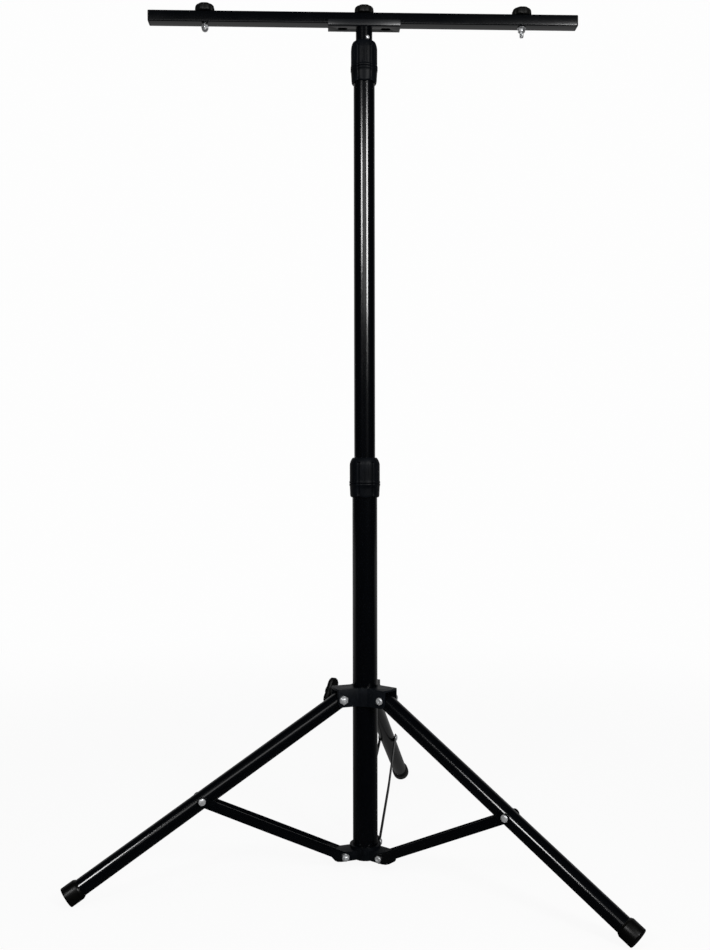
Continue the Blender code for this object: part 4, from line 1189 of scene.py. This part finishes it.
class LIGHTSTAND_OT_collar(Operator):
    """Make the sliding leg collar with its clamp and wing knob"""

    bl_idname = "light_stand.collar"
    bl_label = "Leg collar"

    def execute(self, context):
        sizes = context.scene.light_stand_sizes
        show("leg_collar", from_node("leg_collar", sizes.edge_radius), MOULDING)
        wing = from_node("wing_knob", WING_EDGE, segments=4, angle=22.0)
        show("wing_knob", wing, PLASTIC, smooth=SMOOTH_SOFT)
        clamp = Matrix.Translation((0, 0, CLAMP_HEIGHT)) @ turn_to(CLAMP_AZIMUTH)
        screw = along_x(thread_mesh(CLAMP_RADIUS, CLAMP_PITCH, *CLAMP_ENDS, CLAMP_THREAD_END))
        show("clamp_screw", screw, ZINC, clamp, SMOOTH_THREADS)
        show("clamp_pad", from_node("clamp_pad", PAD_EDGE), PLASTIC)
        for name, azimuth in ARM_AZIMUTHS.items():
            matrix = turn_to(azimuth) @ Matrix.Translation(LEG_PIVOT)
            bolt = bolt_mesh(COLLAR_OUTER_HALF, *LEG_BOLT)
            show(f"leg_bolt_{name}", bolt, ZINC, matrix, SMOOTH_CRISP)
        return {"FINISHED"}


class LIGHTSTAND_OT_hub(Operator):
    """Make the hub at the pole's foot and its bolts"""

    bl_idname = "light_stand.hub"
    bl_label = "Hub"

    def execute(self, context):
        hub = from_node("hub", context.scene.light_stand_sizes.edge_radius)
        # The hub's moulding is darkened: painted shade, as less light reaches it
        show("hub", hub, MOULDING, look=DARKER_AND_SHADED_MOULDING)
        half = FOOT_RADIUS + GAP + STRIP_THICKNESS
        for name, azimuth in ARM_AZIMUTHS.items():
            matrix = turn_to(azimuth) @ Matrix.Translation(HUB_PIVOT)
            show(f"hub_bolt_{name}", bolt_mesh(half, *HUB_BOLT), ZINC, matrix, SMOOTH_CRISP)
        return {"FINISHED"}


def leg_mesh(sides):
    """A leg tube along +X, a little below its pivot, its inner end rounded about the pivot."""
    end = LEG_LENGTH - FOOT_END - GAP
    bore = LEG_RADIUS - TUBE_WALL

    def circle(radius, at=None):
        """A circle across the leg, or where the leg's rounded end cuts it."""
        points = []
        for i in range(sides):
            angle = 2 * math.pi * i / sides
            across, up = radius * math.cos(angle), radius * math.sin(angle) - LEG_BELOW_PIVOT
            start = -math.sqrt(max(0.0, LEG_RADIUS**2 - up**2))
            points.append((start if at is None else at, across, up))
        return points
    rings = [circle(LEG_RADIUS), circle(LEG_RADIUS, LEG_ROUNDED), circle(LEG_RADIUS, end)]
    rings += [circle(bore, end), circle(bore, LEG_ROUNDED), circle(bore)]
    return skin(rings, joined=True)


def foot_mesh(steps):
    """A rubber cup over the leg's end, flat at its tip and tapered at its mouth."""
    bore = LEG_RADIUS + GAP
    mouth = LEG_LENGTH - FOOT_LENGTH
    shoulder = mouth + FOOT_MOUTH_TAPER
    tip = (FOOT_RADIUS - FOOT_ROUND, LEG_LENGTH - FOOT_ROUND)
    lip = (FOOT_RADIUS - FOOT_MOUTH_INSET, mouth + FOOT_MOUTH_ROUND)
    profile = [(FOOT_TIP, LEG_LENGTH)]
    profile += arc(tip, FOOT_ROUND, 90, 0, FOOT_ROUND_STEPS)
    profile.append((FOOT_RADIUS, shoulder + FOOT_MOUTH_ROUND))
    profile.append((FOOT_RADIUS - FOOT_SHOULDER_EDGE, shoulder))
    profile += arc(lip, FOOT_MOUTH_ROUND, 20, -90, FOOT_MOUTH_STEPS)
    profile += [(bore, mouth), (bore, LEG_LENGTH - FOOT_END), (FOOT_TIP, LEG_LENGTH - FOOT_END)]
    return along_x(lathe(profile, steps), (0, 0, -LEG_BELOW_PIVOT))


class LIGHTSTAND_OT_legs(Operator):
    """Make the three leg tubes, their foot caps and the rivet shanks in them"""

    bl_idname = "light_stand.legs"
    bl_label = "Legs"

    def execute(self, context):
        sides = context.scene.light_stand_sizes.tube_sides
        slope = Matrix.Translation(LEG_PIVOT) @ Matrix.Rotation(LEG_SLOPE, 4, "Y")
        for name, azimuth in ARM_AZIMUTHS.items():
            matrix = turn_to(azimuth) @ slope
            show(f"leg_tube_{name}", leg_mesh(sides), STEEL, matrix)
            show(f"foot_cap_{name}", foot_mesh(sides), RUBBER, matrix, SMOOTH_CRISP)
            shank = f"rivet_shank_{name}"
            show(shank, from_node(shank, INNER_EDGE), ZINC)
        return {"FINISHED"}


def strip_mesh(side, length):
    """A flat strip with round ends, cranked in towards the leg, its edges softened."""
    half = STRIP_HALF_WIDTH
    outline = arc((length, 0.0), half, -90, 90, STRIP_END_STEPS)
    outline += arc((0.0, 0.0), half, 90, 270, STRIP_END_STEPS)
    mesh = softened(extrude(outline, 0, STRIP_THICKNESS), STRIP_EDGE, segments=2, angle=40.0)
    start, end = length * STRIP_CRANK_FROM, length - STRIP_PAD
    at_foot, at_leg = FOOT_RADIUS + GAP, LEG_RADIUS + STRIP_CLEARANCE
    bm = bmesh.new()
    bm.from_mesh(mesh)
    for bend in (start, end):
        for row in STRIP_BEND_ROWS:
            everything = bm.verts[:] + bm.edges[:] + bm.faces[:]
            place = (bend + row, 0, 0)
            bmesh.ops.bisect_plane(bm, geom=everything, plane_co=place, plane_no=(1, 0, 0))
    for vertex in bm.verts:
        share = min(1.0, max(0.0, (vertex.co.x - start) / (end - start)))
        across, up = vertex.co.z + at_foot + share * (at_leg - at_foot), vertex.co.y
        vertex.co.y, vertex.co.z = side * across, up
    if side > 0:
        bmesh.ops.reverse_faces(bm, faces=bm.faces)
    return mesh_from(bm, "strip")


def rivet_head_mesh(side):
    """A domed head outside the strip, with its shank through it."""
    seat = LEG_RADIUS + STRIP_CLEARANCE + STRIP_THICKNESS + GAP
    inner = LEG_RADIUS + GAP
    rise = RIVET_HEIGHT - RIVET_RIM
    profile = [(RIVET_TIP, seat + RIVET_HEIGHT)]
    for cosine, sine in quarter_turn(1, DOME_STEPS, DOME_STEPS):
        height = seat + RIVET_RIM + rise * cosine**RIVET_FULLNESS
        profile.append((RIVET_RADIUS * sine, height))
    profile += [(RIVET_RADIUS, seat + RIVET_RIM_ROUND), (RIVET_RADIUS - RIVET_RIM, seat)]
    profile += [(RIVET_SHANK, seat), (RIVET_SHANK, inner), (RIVET_TIP, inner)]
    mesh = along_y(lathe(profile, RIVET_STEPS))
    if side < 0:
        mesh.transform(Matrix.Rotation(math.pi, 4, "Z"))
    return mesh


class LIGHTSTAND_OT_struts(Operator):
    """Make the cranked strips of the struts and their rivets"""

    bl_idname = "light_stand.struts"
    bl_label = "Struts"

    def execute(self, context):
        joint = LEG_PIVOT + Vector((math.cos(LEG_SLOPE), 0.0, -math.sin(LEG_SLOPE))) * LEG_JOINT
        reach = joint - HUB_PIVOT
        rise = Matrix.Rotation(-math.atan2(reach.z, reach.x), 4, "Y")
        for name, azimuth in ARM_AZIMUTHS.items():
            matrix = turn_to(azimuth) @ Matrix.Translation(HUB_PIVOT) @ rise
            outer = matrix @ Matrix.Translation((reach.length, 0, 0))
            for letter, side in (("a", 1), ("b", -1)):
                strip, head = f"strut_strip_{name}_{letter}", f"rivet_head_{name}_{letter}"
                show(strip, strip_mesh(side, reach.length), STEEL, matrix, SMOOTH_SOFT)
                show(head, rivet_head_mesh(side), ZINC, outer)
        return {"FINISHED"}


class LIGHTSTAND_OT_inner_pieces(Operator):
    """Finish the bushes, collets and insert inside the tubes"""

    bl_idname = "light_stand.inner_pieces"
    bl_label = "Inner pieces"

    def execute(self, context):
        for node in ("lower_lock_collet", "upper_lock_collet", "mid_guide_bush", "top_guide_bush"):
            show(node, from_node(node, INNER_EDGE), PLASTIC)
        sizes = context.scene.light_stand_sizes
        show("tube_insert", from_node("tube_insert", sizes.metal_edge_radius), ZINC)
        return {"FINISHED"}


# Stage


def area_lamp(name, place, target, width, height, power):
    data = bpy.data.lights.new(name, "AREA")
    data.shape = "RECTANGLE"
    data.size = width
    data.size_y = height
    data.energy = power
    lamp = new_object(name, data)
    lamp.location = place
    lamp.rotation_euler = (Vector(target) - Vector(place)).to_track_quat("-Z", "Y").to_euler()
    return lamp


def polar(azimuth, distance, height):
    """A point at an azimuth measured from the camera's side towards +X."""
    angle = math.radians(azimuth)
    return Vector((distance * math.sin(angle), -distance * math.cos(angle), height))


def make_lamps(look):
    for name, (azimuth, level, width, height, power) in LAMPS.items():
        place = polar(azimuth, LAMP_DISTANCE, level)
        area_lamp(name, place, LAMP_TARGET, width, height, getattr(look, power))
    side = TOP_LAMP_SIDE
    top = area_lamp("soft lamp", TOP_LAMP_PLACE, TOP_LAMP_TARGET, side, side, look.top_power)
    top.visible_glossy = False


def make_world(look):
    """White to the camera; gloss sees that white behind the stand and a dim room before it."""
    world = bpy.data.worlds.new("studio")
    bpy.context.scene.world = world
    world.use_nodes = True
    world.cycles.sampling_method = "NONE"
    graph = Graph(world.node_tree)
    camera = graph.add("ShaderNodeLightPath", output="Is Camera Ray")
    direction = graph.add("ShaderNodeTexCoord", output="Generated")
    to_back = graph.add("ShaderNodeSeparateXYZ", values={"Vector": direction}, output="Y")
    gloss = to_back.between(*ROOM_PALES) * (look.back - look.front) + look.front
    level = camera * (BACKDROP_WHITE - look.ambient)
    level = level + camera.beside("Is Transmission Ray") * (1 - look.ambient)
    level = level + camera.beside("Is Glossy Ray") * (gloss - look.ambient) + look.ambient
    background = world.node_tree.nodes["Background"]
    graph.link(level, background.inputs["Color"])
    background.inputs["Strength"].default_value = 1.0


def make_floor(look):
    """A plain pale floor that the camera sees nearly white, with the stand's soft shadow on it;
    gloss sees it darkened before the stand by painted shade, paling towards the back.
    """
    low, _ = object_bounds()
    bm = bmesh.new()
    bmesh.ops.create_grid(bm, x_segments=1, y_segments=1, size=FLOOR_SIZE / 2)
    mesh = mesh_from(bm, "floor")
    floor = new_object("floor", mesh)
    floor.location = (0.0, 0.0, low.z)
    body = Finish("pale floor", FLOOR_ROUGHNESS, specular=0.0)
    body.inputs["Base Color"].default_value = (FLOOR_BODY, FLOOR_BODY, FLOOR_BODY, 1.0)
    body.material.cycles.emission_sampling = "NONE"
    graph = body.graph
    nodes = body.material.node_tree.nodes
    camera = graph.add("ShaderNodeLightPath", output="Is Camera Ray")
    here = graph.add("ShaderNodeTexCoord", output="Object")
    to_back = graph.add("ShaderNodeSeparateXYZ", values={"Vector": here}, output="Y")
    # Gloss sees the floor with a painted shade before the stand, fading towards +Y
    mirrored_with_painted_shade = to_back.between(*FLOOR_PALES) * (look.floor_gloss - look.front) + look.front
    level = camera * (BACKDROP_WHITE - mirrored_with_painted_shade) + mirrored_with_painted_shade
    white = graph.add("ShaderNodeEmission", values={"Color": level, "Strength": 1.0})
    from_pole = graph.add(
        "ShaderNodeVectorMath", {"operation": "LENGTH"}, {0: here}, output="Value"
    )
    plain = from_pole.between(*SHADOW_ENDS) * (1 - FLOOR_WHITE) + FLOOR_WHITE
    share = camera * plain + camera.beside("Is Glossy Ray")
    lit = Signal(graph, nodes["Principled BSDF"].outputs["BSDF"])
    mixed = graph.add("ShaderNodeMixShader", values={0: share, 1: lit, 2: white})
    graph.link(mixed, nodes["Material Output"].inputs["Surface"])
    mesh.materials.append(body.material)
    floor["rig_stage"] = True


def make_camera():
    data = bpy.data.cameras.new("camera")
    data.sensor_width = SENSOR
    data.lens = FOCAL_PIXELS / PHOTO_HEIGHT * SENSOR
    data.shift_y = (PRINCIPAL_ROW - PHOTO_HEIGHT / 2) / PHOTO_HEIGHT
    camera = new_object("camera", data)
    forward = Vector((
        math.sin(CAMERA_YAW) * math.cos(CAMERA_PITCH),
        math.cos(CAMERA_YAW) * math.cos(CAMERA_PITCH),
        math.sin(CAMERA_PITCH),
    ))
    right = Vector((math.cos(CAMERA_YAW), -math.sin(CAMERA_YAW), 0.0))
    turn = Matrix((right, right.cross(forward), -forward)).transposed().to_4x4()
    roll = Matrix.Rotation(CAMERA_ROLL, 4, "Z")
    camera.matrix_world = Matrix.Translation(CAMERA_EYE) @ turn @ roll
    bpy.context.scene.camera = camera


class LIGHTSTAND_OT_stage(Operator):
    """Set up the floor, world, lamps and camera"""

    bl_idname = "light_stand.stage"
    bl_label = "Stage"

    def execute(self, context):
        look = context.scene.light_stand_stage
        context.scene.view_settings.view_transform = "Standard"
        make_camera()
        make_floor(look)
        make_world(look)
        make_lamps(look)
        return {"FINISHED"}


STEPS = (
    LIGHTSTAND_OT_pole,
    LIGHTSTAND_OT_locks,
    LIGHTSTAND_OT_t_bar,
    LIGHTSTAND_OT_knobs,
    LIGHTSTAND_OT_collar,
    LIGHTSTAND_OT_hub,
    LIGHTSTAND_OT_legs,
    LIGHTSTAND_OT_struts,
    LIGHTSTAND_OT_inner_pieces,
    LIGHTSTAND_OT_stage,
)


class LIGHTSTAND_PT_panel(Panel):
    """The stand's pieces, sizes and finishes"""

    bl_label = "Light Stand"
    bl_idname = "LIGHTSTAND_PT_panel"
    bl_space_type = "VIEW_3D"
    bl_region_type = "UI"
    bl_category = "Light Stand"

    def draw(self, context):
        scene = context.scene
        for group in (scene.light_stand_sizes, scene.light_stand_finishes, scene.light_stand_stage):
            box = self.layout.box()
            for name in group.__annotations__:
                box.prop(group, name)
        column = self.layout.column()
        for step in STEPS:
            column.operator(step.bl_idname)


CLASSES = (LightStandSizes, LightStandFinishes, LightStandStage) + STEPS + (LIGHTSTAND_PT_panel,)


def register():
    for cls in CLASSES:
        bpy.utils.register_class(cls)
    bpy.types.Scene.light_stand_sizes = PointerProperty(type=LightStandSizes)
    bpy.types.Scene.light_stand_finishes = PointerProperty(type=LightStandFinishes)
    bpy.types.Scene.light_stand_stage = PointerProperty(type=LightStandStage)


def unregister():
    del bpy.types.Scene.light_stand_stage
    del bpy.types.Scene.light_stand_finishes
    del bpy.types.Scene.light_stand_sizes
    for cls in reversed(CLASSES):
        bpy.utils.unregister_class(cls)


def main():
    register()
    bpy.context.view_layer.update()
    for step in STEPS:
        getattr(bpy.ops.light_stand, step.bl_idname.split(".")[1])()


if __name__ == "__main__":
    main()
